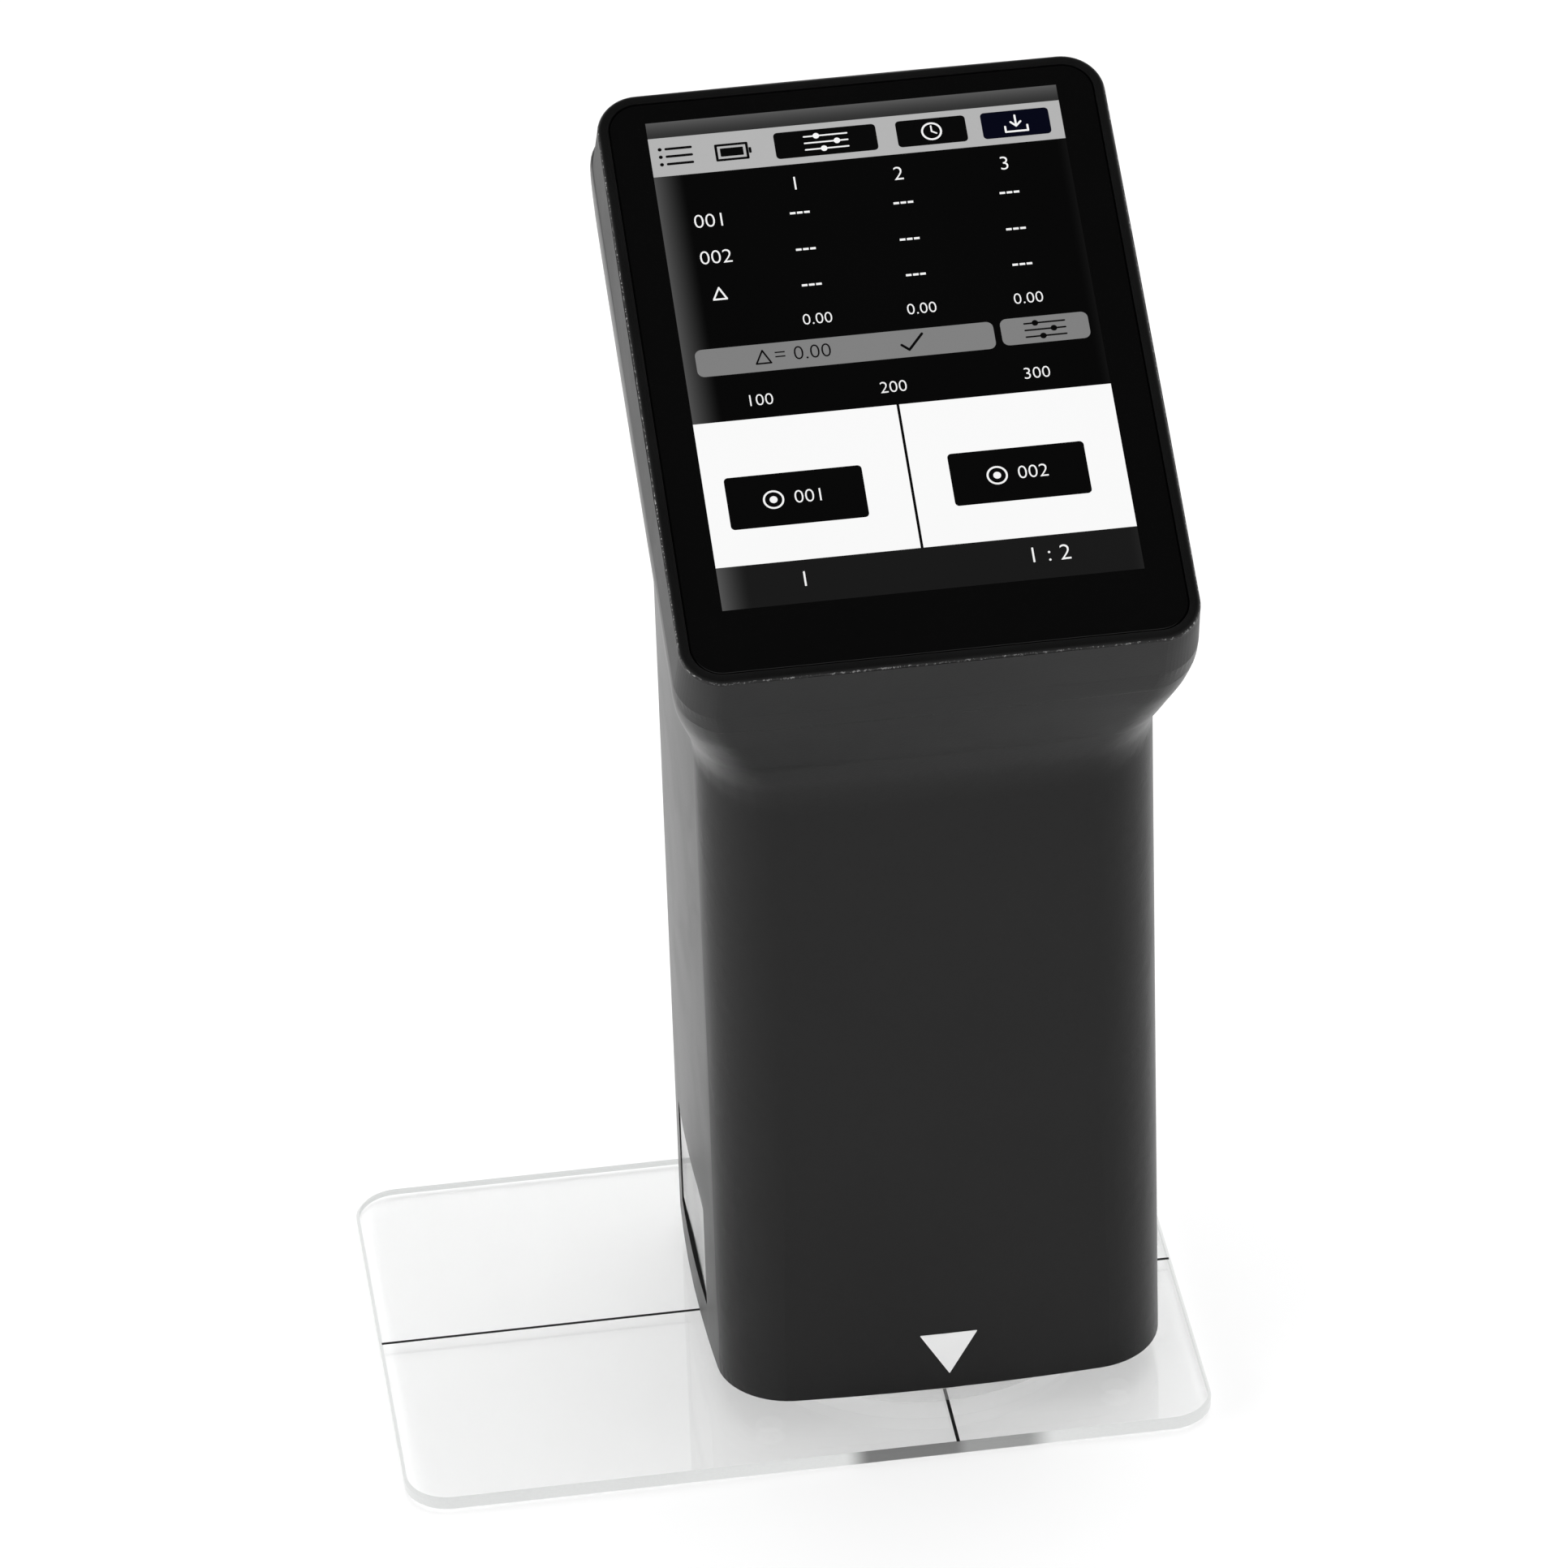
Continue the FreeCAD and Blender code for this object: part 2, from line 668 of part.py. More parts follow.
def aperture_nose():
    """Measuring nose with its aperture and a ledge for the window."""
    window_low = base_top - WINDOW_DEPTH - WINDOW_THICK
    inside = NOSE_R - NOSE_WALL
    body = rod(NOSE_R, 0, base_top)
    body = body.cut(rod(APERTURE_R, 0, NOSE_LIP))
    body = body.cut(rod(inside - WINDOW_LEDGE, NOSE_LIP, window_low))
    return body.cut(rod(inside, window_low, base_top))


def port_window():
    """Dust window in the nose."""
    low = base_top - WINDOW_DEPTH - WINDOW_THICK
    return rod(NOSE_R - NOSE_WALL - WINDOW_FIT, low, low + WINDOW_THICK)


def well_box(margin):
    """Space of the socket well, grown by a margin on all sides but the open one."""
    return box(-half_w, -(well_floor - margin), -well_half - margin, well_half + margin,
               well_low - margin, well_top + margin)


def housing_additions():
    """Bosses, well walls and board posts inside the housing."""
    made = [well_box(WELL_WALL)]
    for x, y in base_boss_spots():
        made.append(rod(BOSS_R, base_top, base_top + BOSS_HEIGHT, x, y))
    for x, y in skirt_screw_spots():
        low = lip_low - SCREW_GRIP - WALL
        web = box(x - SCREW_R, x + SCREW_R, -seam_half_l, y, low, lip_low)
        made.append(placed(rod(BOSS_R, low, lip_low, x, y).fuse(web), HEAD))
    for x, z in battery_boss_spots():
        made.append(rod_y(BATTERY_BOSS_R, -half_d, battery_back, x, z))
    for y, z in charge_screw_spots():
        made.append(rod_x(CHARGE_BOSS_R, -well_floor, -charge_face, y, z))
    return made


def housing_cuts():
    """Holes and recesses of the housing."""
    cuts = [well_box(0).fuse(box(-half_w - WALL, -half_w, -well_half, well_half, well_low, well_top))]
    cuts.append(rod_y(PIN_R + PIN_PRESS_FIT, -well_half - PIN_GRIP, well_half + PIN_GRIP, pin_x, pin_z))
    for x, y in base_boss_spots():
        cuts.append(rod(SCREW_R + SCREW_FIT, base_top, base_top + SCREW_GRIP + SCREW_TIP, x, y))
    for x, y in skirt_screw_spots():
        cuts.append(placed(rod(SCREW_R + SCREW_FIT, lip_low - SCREW_GRIP, lip_low, x, y), HEAD))
    for x, z in battery_boss_spots():
        cuts.append(rod_y(SCREW_R + SCREW_FIT, battery_back - SCREW_GRIP, battery_back, x, z))
    for y, z in charge_screw_spots():
        cuts.append(rod_x(SMALL_SCREW_R + SCREW_FIT, -charge_face - SMALL_SCREW_GRIP, -charge_face, y, z))
    slot_y = SOCKET_WIDTH / 2 + SOCKET_FIT
    slot_z = SOCKET_HEIGHT / 2 + SOCKET_FIT
    slot_back = -(well_floor - WELL_WALL)
    cuts.append(box(-well_floor, slot_back, -slot_y, slot_y, socket_z - slot_z, socket_z + slot_z))
    return cuts + [measure_key().opening(), power_key().opening()]


def main_housing():
    """One-piece grip, neck and back of the head."""
    outside = grip_body().fuse(neck())
    inside = grip_body(WALL).fuse(neck(WALL))
    shell = outside.cut(inside)
    added = [piece.common(outside) for piece in housing_additions()]
    added += measure_key().bosses() + power_key().bosses()
    solid = shell.multiFuse(added)
    return solid.cut(Part.makeCompound(housing_cuts()))


def base_cover():
    """Plate that closes the grip from below."""
    plate = prism(grip_outline(WALL + BASE_FIT), grip_low, base_top)
    holes = [rod(NOSE_R + NOSE_FIT, grip_low, base_top)]
    for x, y in base_boss_spots() + optics_screw_spots():
        holes.append(rod(SCREW_R + THROUGH_FIT, grip_low, base_top, x, y))
        holes.append(rod(head_r + HEAD_FIT, grip_low, head_seat(), x, y))
    return plate.cut(Part.makeCompound(holes))


def head_seat():
    """Level of the screw heads' seats in the base cover."""
    return grip_low + head_h + HEAD_FIT


def base_screws():
    """Four screws from below into the grip's bosses."""
    spots = [V(x, y, head_seat()) for x, y in base_boss_spots()]
    return screws(SCREW_R, base_top - head_seat() + SCREW_GRIP, spots, Z_AXIS)


def optics_screw_spots():
    """Centres of the screws that hold the sphere on the base cover."""
    turns = [2 * math.pi * i / OPTICS_SCREW_COUNT + math.pi / 2 for i in range(OPTICS_SCREW_COUNT)]
    return [(optics_at * math.cos(a), optics_at * math.sin(a)) for a in turns]


def optics_screws():
    """Screws from below into the lower half of the sphere."""
    spots = [V(x, y, head_seat()) for x, y in optics_screw_spots()]
    return screws(SCREW_R, base_top - head_seat() + SMALL_SCREW_GRIP, spots, Z_AXIS)


def ear_spots():
    """Centres of the ears that clamp the sphere's halves."""
    at = ear_at / math.sqrt(2)
    return [(sx * at, sy * at) for sx in (-1, 1) for sy in (-1, 1)]


def sphere_half(z0, z1, ear_low):
    """Half of the sphere's block with its four ears, before its ports are cut."""
    ears = [rod(EAR_R, ear_low, ear_low + EAR_THICK, x, y) for x, y in ear_spots()]
    block = fused([rod(block_r, z0, z1)] + ears)
    return block.cut(Part.makeSphere(sphere_r, V(0, 0, sphere_z)))


def sphere_lower():
    """Lower half of the mixing sphere, with the sample port."""
    half = sphere_half(base_top, sphere_z, sphere_z - EAR_THICK)
    foot = rod(optics_at + OPTICS_FOOT, base_top, base_top + OPTICS_FOOT_HEIGHT)
    half = half.fuse(foot).cut(Part.makeSphere(sphere_r, V(0, 0, sphere_z))).removeSplitter()
    cuts = [rod(SAMPLE_PORT_R, base_top, sphere_z)]
    cuts += [rod(SCREW_R + SCREW_FIT, sphere_z - EAR_THICK, sphere_z, x, y) for x, y in ear_spots()]
    for x, y in optics_screw_spots():
        cuts.append(rod(SCREW_R + SCREW_FIT, base_top, base_top + SMALL_SCREW_GRIP + SCREW_TIP, x, y))
    return half.cut(Part.makeCompound(cuts))


def lamp_screw_spots():
    """Centres, along Y and up, of the lamp board's screws."""
    y = LAMP_SEAT_WIDTH / 2 - SMALL_SCREW_R * HEAD_RATIO
    return [(sy * y, lamp_z) for sy in (-1, 1)]


def lamp_face():
    """Distance of the lamp seat's face from the axis."""
    return block_r + LAMP_SEAT_OUT


def sphere_upper():
    """Upper half of the mixing sphere, with the lamp seat and the viewing port."""
    half = sphere_half(sphere_z, roof_z, sphere_z)
    seat = box(sphere_r, lamp_face(), -LAMP_SEAT_WIDTH / 2, LAMP_SEAT_WIDTH / 2,
               lamp_z - lamp_half, lamp_z + lamp_half)
    half = half.fuse(seat).cut(Part.makeSphere(sphere_r, V(0, 0, sphere_z)))
    cuts = [rod_x(LED_R + LED_FIT, 0, lamp_face(), 0, lamp_z)]
    cuts.append(placed(rod(VIEW_PORT_R, sphere_z, tube_end), VIEW_AXIS))
    cuts += [rod(SCREW_R + THROUGH_FIT, sphere_z, sphere_z + EAR_THICK, x, y) for x, y in ear_spots()]
    for y, z in lamp_screw_spots():
        cuts.append(rod_x(SMALL_SCREW_R + SCREW_FIT, lamp_face() - SMALL_SCREW_GRIP, lamp_face(), y, z))
    for spot in tube_foot_spots():
        cuts.append(rod(SMALL_SCREW_R + SCREW_FIT, roof_z - SMALL_SCREW_GRIP, roof_z, spot.x, spot.y))
    return half.cut(Part.makeCompound(cuts))


def sphere_screws():
    """Screws that clamp the two halves of the sphere."""
    spots = [V(x, y, sphere_z + EAR_THICK) for x, y in ear_spots()]
    return screws(SCREW_R, 2 * EAR_THICK, spots, V(0, 0, -1))


def lamp_board():
    """Board of the light source on its seat."""
    wide = LAMP_SEAT_WIDTH / 2 + LAMP_BOARD_MARGIN
    tall = lamp_half + LAMP_BOARD_MARGIN
    plate = box(lamp_face(), lamp_face() + SMALL_BOARD_THICK, -wide, wide, lamp_z - tall, lamp_z + tall)
    holes = [rod_x(SMALL_SCREW_R + THROUGH_FIT, lamp_face(), lamp_face() + SMALL_BOARD_THICK, y, z)
             for y, z in lamp_screw_spots()]
    return plate.cut(Part.makeCompound(holes))


def lamp_led():
    """Light emitter that reaches into the sphere's side port."""
    tip = lamp_face() - LED_LENGTH
    body = rod_x(LED_R, tip, lamp_face(), 0, lamp_z)
    return body.fuse(Part.makeSphere(LED_R, V(tip, 0, lamp_z))).removeSplitter()


def lamp_screws():
    """Screws of the lamp board."""
    spots = [V(lamp_face() + SMALL_BOARD_THICK, y, z) for y, z in lamp_screw_spots()]
    return screws(SMALL_SCREW_R, small_screw_length(SMALL_BOARD_THICK), spots, V(-1, 0, 0))


def tube_foot_spots():
    """Screw seats on the foot of the detector tube."""
    y = roof_z * math.tan(view)
    x = TUBE_FLANGE_WIDTH / 2 - TUBE_SCREW_IN
    return [V(sx * x, y, roof_z + TUBE_FLANGE_THICK) for sx in (-1, 1)]


def tube_head_spots():
    """Screw seats on the sensor board, along the tilted axis."""
    x = TUBE_FLANGE_WIDTH / 2 - TUBE_SCREW_IN
    return [V(sx * x, 0, tube_end + SMALL_BOARD_THICK) for sx in (-1, 1)]


def detector_tube():
    """Tilted tube over the viewing port, with a foot and a head flange."""
    wide = TUBE_FLANGE_WIDTH / 2
    deep = TUBE_FLANGE_DEPTH / 2
    y = roof_z * math.tan(view)
    barrel = rod(TUBE_R, sphere_z, tube_end)
    head = box(-wide, wide, -deep, deep, tube_end - TUBE_FLANGE_THICK, tube_end)
    foot = box(-wide, wide, y - deep, y + deep, roof_z, roof_z + TUBE_FLANGE_THICK)
    solid = fused([placed(barrel.fuse(head), VIEW_AXIS), foot])
    inside = TUBE_R - TUBE_WALL
    seat = tube_end - LENS_DOWN
    cuts = [placed(rod(inside - TUBE_STOP, 0, seat), VIEW_AXIS)]
    cuts.append(placed(rod(inside, seat, tube_end), VIEW_AXIS))
    cuts.append(box(-GRIP_WIDTH, GRIP_WIDTH, -GRIP_DEPTH, GRIP_DEPTH, 0, roof_z))
    for spot in tube_foot_spots():
        cuts.append(rod(SMALL_SCREW_R + THROUGH_FIT, roof_z, spot.z, spot.x, spot.y))
    for spot in tube_head_spots():
        hole = rod(SMALL_SCREW_R + SCREW_FIT, tube_end - TUBE_FLANGE_THICK, tube_end, spot.x, spot.y)
        cuts.append(placed(hole, VIEW_AXIS))
    return solid.cut(Part.makeCompound(cuts))


def detector_lens():
    """Plano-convex lens on the stop of the tube."""
    radius = TUBE_R - TUBE_WALL - LENS_FIT
    seat = tube_end - LENS_DOWN
    bulge_r = side_radius(radius, LENS_BULGE)
    ball = Part.makeSphere(bulge_r, V(0, 0, seat + LENS_THICK + LENS_BULGE - bulge_r))
    dome = ball.common(rod(radius, seat + LENS_THICK, seat + LENS_THICK + LENS_BULGE))
    return placed(fused([rod(radius, seat, seat + LENS_THICK), dome]), VIEW_AXIS)


def colour_sensor():
    """Sensor chip on the underside of the sensor board."""
    half = SENSOR_SIZE / 2
    return placed(box(-half, half, -half, half, tube_end - SENSOR_HEIGHT, tube_end), VIEW_AXIS)


def sensor_board():
    """Board on the head of the detector tube, with a plug for the cable."""
    wide = TUBE_FLANGE_WIDTH / 2
    deep = SENSOR_BOARD_DEPTH / 2
    top = tube_end + SMALL_BOARD_THICK
    plate = box(-wide, wide, -deep, deep, tube_end, top)
    plug = box(-CABLE_WIDTH / 2, CABLE_WIDTH / 2, -PLUG_LENGTH / 2, PLUG_LENGTH / 2, top, top + PLUG_HEIGHT)
    solid = plate.fuse(plug)
    for spot in tube_head_spots():
        solid = solid.cut(rod(SMALL_SCREW_R + THROUGH_FIT, tube_end, top, spot.x, spot.y))
    return placed(solid, VIEW_AXIS)


def tube_screws():
    """Screws at the foot and at the head of the detector tube."""
    foot = screws(SMALL_SCREW_R, small_screw_length(TUBE_FLANGE_THICK), tube_foot_spots(), V(0, 0, -1))
    head = screws(SMALL_SCREW_R, SMALL_BOARD_THICK + TUBE_FLANGE_THICK, tube_head_spots(), V(0, 0, -1))
    return Part.makeCompound(foot.Solids + placed(head, VIEW_AXIS).Solids)


def rounded_path(points, radius):
    """Wire of straight runs joined by tangent arcs."""
    edges = []
    start = points[0]
    for before, corner, after in zip(points, points[1:], points[2:]):
        back = (before - corner).normalize()
        ahead = (after - corner).normalize()
        half = back.getAngle(ahead) / 2
        reach = radius / math.tan(half)
        first = corner + back * reach
        last = corner + ahead * reach
        middle = (back + ahead).normalize()
        crest = corner + middle * (radius / math.sin(half) - radius)
        edges.append(Part.LineSegment(start, first).toShape())
        edges.append(Part.Arc(first, crest, last).toShape())
        start = last
    edges.append(Part.LineSegment(start, points[-1]).toShape())
    return Part.Wire(edges)


def ribbon(points, radius, width, thick):
    """Flat strip, wide along X, that follows a path in the YZ plane."""
    ahead = (points[1] - points[0]).normalize()
    side = V(0, -ahead.z, ahead.y) * (thick / 2)
    across = V(width / 2, 0, 0)
    start = points[0]
    corners = [start - across - side, start + across - side, start + across + side, start - across + side]
    section = Part.makePolygon(corners + corners[:1])
    return rounded_path(points, radius).makePipeShell([section], True, False)


def sensor_cable():
    """Flat cable from the sensor board's plug to the main board's underside."""
    start = VIEW_AXIS.multVec(V(0, 0, tube_end + SMALL_BOARD_THICK + PLUG_HEIGHT))
    first = start + VIEW_AXIS.multVec(Z_AXIS) * CABLE_FIRST_RUN
    end = HEAD.multVec(V(0, cable_spot(), board_low - PLUG_HEIGHT))
    last = end - HEAD.Rotation.multVec(Z_AXIS) * CABLE_LAST_RUN
    second = V(0, last.y, first.z + abs(first.y - last.y))
    return ribbon([start, first, second, last, end], CABLE_BEND, CABLE_WIDTH, CABLE_THICK)


def cable_spot():
    """Place of the cable's plug along the main board, so that the cable hangs clear in the grip."""
    behind = half_d + measure_key().board_low
    middle = (cradle_back + behind) / 2
    below = board_low - PLUG_HEIGHT - CABLE_LAST_RUN
    return (middle - head_y + below * math.sin(tilt)) / math.cos(tilt)


def touch_glass():
    """Cover glass of the display."""
    return placed(prism(glass_outline(), glass_low, 0), HEAD)


def screen_frame():
    """Glossy rim round the glass: chamfered above the skirt's edge and stepped in behind it."""
    lower = prism(rim_outline(RIM_STEP + RIM_FIT), flange_top, rim_low)
    upper = tapered(rim_outline(), rim_low, rim_outline(RIM_CHAMFER), RIM_RISE)
    hole = prism(glass_outline(-GLASS_FIT), flange_top, RIM_RISE)
    return placed(lower.fuse(upper).cut(hole), HEAD)


def panel_box(grow, z0, z1):
    """Space of the display panel, grown at its sides."""
    wide = PANEL_WIDTH / 2 + grow
    return box(-wide, wide, panel_start - grow, panel_end + grow, z0, z1)


def head_skirt():
    """Satin surround between the rim and the seam, with a flange for the glass and a lip below."""
    outside = tapered(seam_outline(), -SKIRT_HEIGHT, rim_outline(), rim_low)
    lip = prism(seam_outline(WALL + LIP_FIT), lip_low, -SKIRT_HEIGHT)
    cavity = prism(seam_outline(head_wall), lip_low, flange_low)
    posts = [rod(BOSS_R, lip_low, flange_low, x, y) for x, y in skirt_screw_spots()]
    limit = prism(seam_outline(WALL + LIP_FIT), lip_low, flange_low)
    solid = outside.fuse(lip).cut(cavity).multiFuse([post.common(limit) for post in posts])
    cuts = [panel_box(PANEL_FIT, lip_low, flange_top), prism(rim_outline(RIM_STEP), flange_top, rim_low)]
    for x, y in skirt_screw_spots():
        cuts.append(rod(SCREW_R + THROUGH_FIT, lip_low, flange_top, x, y))
        cuts.append(rod(head_r + HEAD_FIT, chin_seat, flange_top, x, y))
    return placed(solid.cut(Part.makeCompound(cuts)), HEAD)


def skirt_screws():
    """Chin screws from under the glass into the housing's bosses."""
    spots = [V(x, y, chin_seat) for x, y in skirt_screw_spots()]
    return placed(screws(SCREW_R, chin_seat - lip_low + SCREW_GRIP - SCREW_TIP, spots, V(0, 0, -1)), HEAD)


def glass_gasket():
    """Thin seal between the glass and the flange."""
    ring = prism(glass_outline(GASKET_INSET), flange_top, glass_low)
    return placed(ring.cut(panel_box(PANEL_FIT, flange_top, glass_low)), HEAD)


def display_panel():
    """Display bonded to the underside of the glass."""
    return placed(panel_box(0, panel_low, glass_low), HEAD)


def display_bracket():
    """Tray under the display, with a rail up to the flange on each side."""
    wide = PANEL_WIDTH / 2 + PANEL_FIT + RAIL_WIDTH
    y0 = panel_start + BRACKET_MARGIN
    y1 = panel_end - BRACKET_MARGIN
    middle = (y0 + y1) / 2
    tray = box(-wide, wide, y0, y1, bracket_low, panel_low)
    rail_start = middle - RAIL_LENGTH / 2
    rail_end = middle + RAIL_LENGTH / 2
    left = box(-wide, -wide + RAIL_WIDTH, rail_start, rail_end, panel_low, flange_low)
    right = box(wide - RAIL_WIDTH, wide, rail_start, rail_end, panel_low, flange_low)
    return placed(fused([tray, left, right]), HEAD)


def standoff_spots():
    """Centres of the main board's standoffs in the head's frame."""
    x = board_half - STANDOFF_INSET
    return [(sx * x, y) for sx in (-1, 1) for y in (board_start + STANDOFF_INSET, board_end - STANDOFF_INSET)]


def board_standoffs():
    """Round posts between the display tray and the main board."""
    posts = []
    for x, y in standoff_spots():
        post = rod(STANDOFF_R, board_top, bracket_low, x, y)
        posts.append(post.cut(rod(SCREW_R + SCREW_FIT, board_top, bracket_low - SCREW_TIP, x, y)))
    return placed(Part.makeCompound(posts), HEAD)


def board_screws():
    """Screws from below into the standoffs."""
    spots = [V(x, y, board_low) for x, y in standoff_spots()]
    return placed(screws(SCREW_R, BOARD_THICK + SMALL_SCREW_GRIP, spots, Z_AXIS), HEAD)


def main_board():
    """Main board with its processor, the display's plug and the sensor cable's plug."""
    plate = box(-board_half, board_half, board_start, board_end, board_low, board_top)
    middle = (board_start + board_end) / 2
    chip = box(-CHIP_SIZE / 2, CHIP_SIZE / 2, middle, middle + CHIP_SIZE, board_top, board_top + CHIP_HEIGHT)
    plug = box(-PLUG_WIDTH / 2, PLUG_WIDTH / 2, board_start, board_start + PLUG_LENGTH,
               board_top, board_top + PLUG_HEIGHT)
    below = box(-CABLE_WIDTH / 2, CABLE_WIDTH / 2, cable_spot() - PLUG_LENGTH / 2,
                cable_spot() + PLUG_LENGTH / 2, board_low - PLUG_HEIGHT, board_low)
    solid = fused([plate, chip, plug, below])
    holes = [rod(SCREW_R + THROUGH_FIT, board_low, board_top, x, y) for x, y in standoff_spots()]
    return placed(solid.cut(Part.makeCompound(holes)), HEAD)


def display_flex():
    """Ribbon from the end of the display round to its plug on the main board."""
    high = panel_low + FLEX_THICK
    low = board_top + PLUG_HEIGHT / 2
    out = panel_start - FLEX_LOOP
    route = [V(0, panel_start, high), V(0, out, high), V(0, out, low), V(0, board_start, low)]
    return placed(ribbon(route, FLEX_BEND, FLEX_WIDTH, FLEX_THICK), HEAD)


def battery():
    """Rechargeable pack in the front of the grip."""
    pack = rounded_box(battery_width, battery_height, 0, BATTERY_THICK, BATTERY_CORNER)
    spot = V(0, battery_front, battery_mid)
    return placed(pack, FreeCAD.Placement(spot, FreeCAD.Rotation(X_AXIS, -90)))


def battery_bracket():
    """Plate behind the battery with a shelf below it."""
    plate = box(-cradle_half, cradle_half, battery_back, cradle_back, battery_low - CRADLE_THICK,
                battery_low + battery_height)
    shelf_half = CRADLE_SHELF_WIDTH / 2
    shelf = box(-shelf_half, shelf_half, battery_back - CRADLE_SHELF_OUT, battery_back,
                battery_low - CRADLE_THICK, battery_low)
    holes = [rod_y(SCREW_R + THROUGH_FIT, battery_back, cradle_back, x, z) for x, z in battery_boss_spots()]
    return fused([plate, shelf]).cut(Part.makeCompound(holes))


def battery_screws():
    """Screws of the battery bracket."""
    spots = [V(x, cradle_back, z) for x, z in battery_boss_spots()]
    return screws(SCREW_R, CRADLE_THICK + SCREW_GRIP - SCREW_TIP, spots, V(0, -1, 0))


def port_door():
    """Flat glossy door with a rolled top edge that holds the hinge pin."""
    half = DOOR_WIDTH / 2
    panel = box(-door_face, -door_face + DOOR_THICK, -half, half, door_low, pin_z)
    roll = rod_y(KNUCKLE_R, -half, half, pin_x, pin_z)
    bore = rod_y(PIN_R + PIN_RUNNING_FIT, -half, half, pin_x, pin_z)
    return panel.fuse(roll).cut(bore).removeSplitter()


def door_pin():
    """Hinge pin of the door, held in the housing's wall."""
    return rod_y(PIN_R, -well_half - PIN_GRIP, well_half + PIN_GRIP, pin_x, pin_z)


def charge_board():
    """Charging board behind the socket well."""
    half_y = CHARGE_BOARD_WIDTH / 2
    half_z = CHARGE_BOARD_HEIGHT / 2
    back = -charge_face + SMALL_BOARD_THICK
    plate = box(-charge_face, back, -half_y, half_y, socket_z - half_z, socket_z + half_z)
    holes = [rod_x(SMALL_SCREW_R + THROUGH_FIT, -charge_face, back, y, z) for y, z in charge_screw_spots()]
    return plate.cut(Part.makeCompound(holes))


def charge_screws():
    """Screws of the charging board."""
    spots = [V(-charge_face + SMALL_BOARD_THICK, y, z) for y, z in charge_screw_spots()]
    return screws(SMALL_SCREW_R, small_screw_length(SMALL_BOARD_THICK), spots, V(-1, 0, 0))


def usb_socket():
    """Charging socket: a thin shell round a tongue."""
    mouth = -(well_floor + SOCKET_PROUD)
    half_y = SOCKET_WIDTH / 2
    half_z = SOCKET_HEIGHT / 2
    shell = box(mouth, -charge_face, -half_y, half_y, socket_z - half_z, socket_z + half_z)
    inside = box(mouth, -charge_face - SOCKET_SHELL, -half_y + SOCKET_SHELL, half_y - SOCKET_SHELL,
                 socket_z - half_z + SOCKET_SHELL, socket_z + half_z - SOCKET_SHELL)
    tongue = box(mouth + TONGUE_SHORT, -charge_face, -TONGUE_WIDTH / 2, TONGUE_WIDTH / 2,
                 socket_z - TONGUE_THICK / 2, socket_z + TONGUE_THICK / 2)
    return fused([shell.cut(inside), tongue])


PIECES = {
    "locating_plate": locating_plate, "plate_ring": plate_ring,
    "port_collar": port_collar, "aperture_nose": aperture_nose, "port_window": port_window,
    "main_housing": main_housing, "base_cover": base_cover, "base_screws": base_screws,
    "head_skirt": head_skirt, "skirt_screws": skirt_screws, "screen_frame": screen_frame,
    "touch_glass": touch_glass, "glass_gasket": glass_gasket, "display_panel": display_panel,
    "display_bracket": display_bracket, "display_flex": display_flex,
    "main_board": main_board, "board_standoffs": board_standoffs, "board_screws": board_screws,
    "sphere_lower": sphere_lower, "sphere_upper": sphere_upper, "sphere_screws": sphere_screws,
    "optics_screws": optics_screws,
    "lamp_board": lamp_board, "lamp_led": lamp_led, "lamp_screws": lamp_screws,
    "detector_tube": detector_tube, "detector_lens": detector_lens, "colour_sensor": colour_sensor,
    "sensor_board": sensor_board, "tube_screws": tube_screws, "sensor_cable": sensor_cable,
    "battery": battery, "battery_bracket": battery_bracket, "battery_screws": battery_screws,
    "port_door": port_door, "door_pin": door_pin,
    "charge_board": charge_board, "charge_screws": charge_screws, "usb_socket": usb_socket,
    "measure_button": lambda: measure_key().cap(), "trigger_board": lambda: measure_key().board(),
    "trigger_screws": lambda: measure_key().fixing(),
    "power_button": lambda: power_key().cap(), "power_board": lambda: power_key().board(),
    "power_screws": lambda: power_key().fixing(),
}


def main():
    os.makedirs("parts", exist_ok=True)
    for name, make in PIECES.items():
        shape = make()
        state = "valid" if shape.isValid() else "INVALID"
        print(name, len(shape.Solids), "solids", round(shape.Volume, 1), "mm3", state)
        shape.exportStep(os.path.join("parts", name + ".step"))


main()
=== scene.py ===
# %% [markdown]
# A hand-held colorimeter stands on its clear locating plate.
# The solid model already holds every part at its true size and place, so this lesson adds only looks:
# finishes, the lit display, the printed lines of the plate and the light of a small photo table.
# Everything is in metres in the frame of the solid model, so nothing has to be fitted by eye.

# %% Load the frame
import json
import math

import bmesh
import bpy
from mathutils import Matrix, Vector


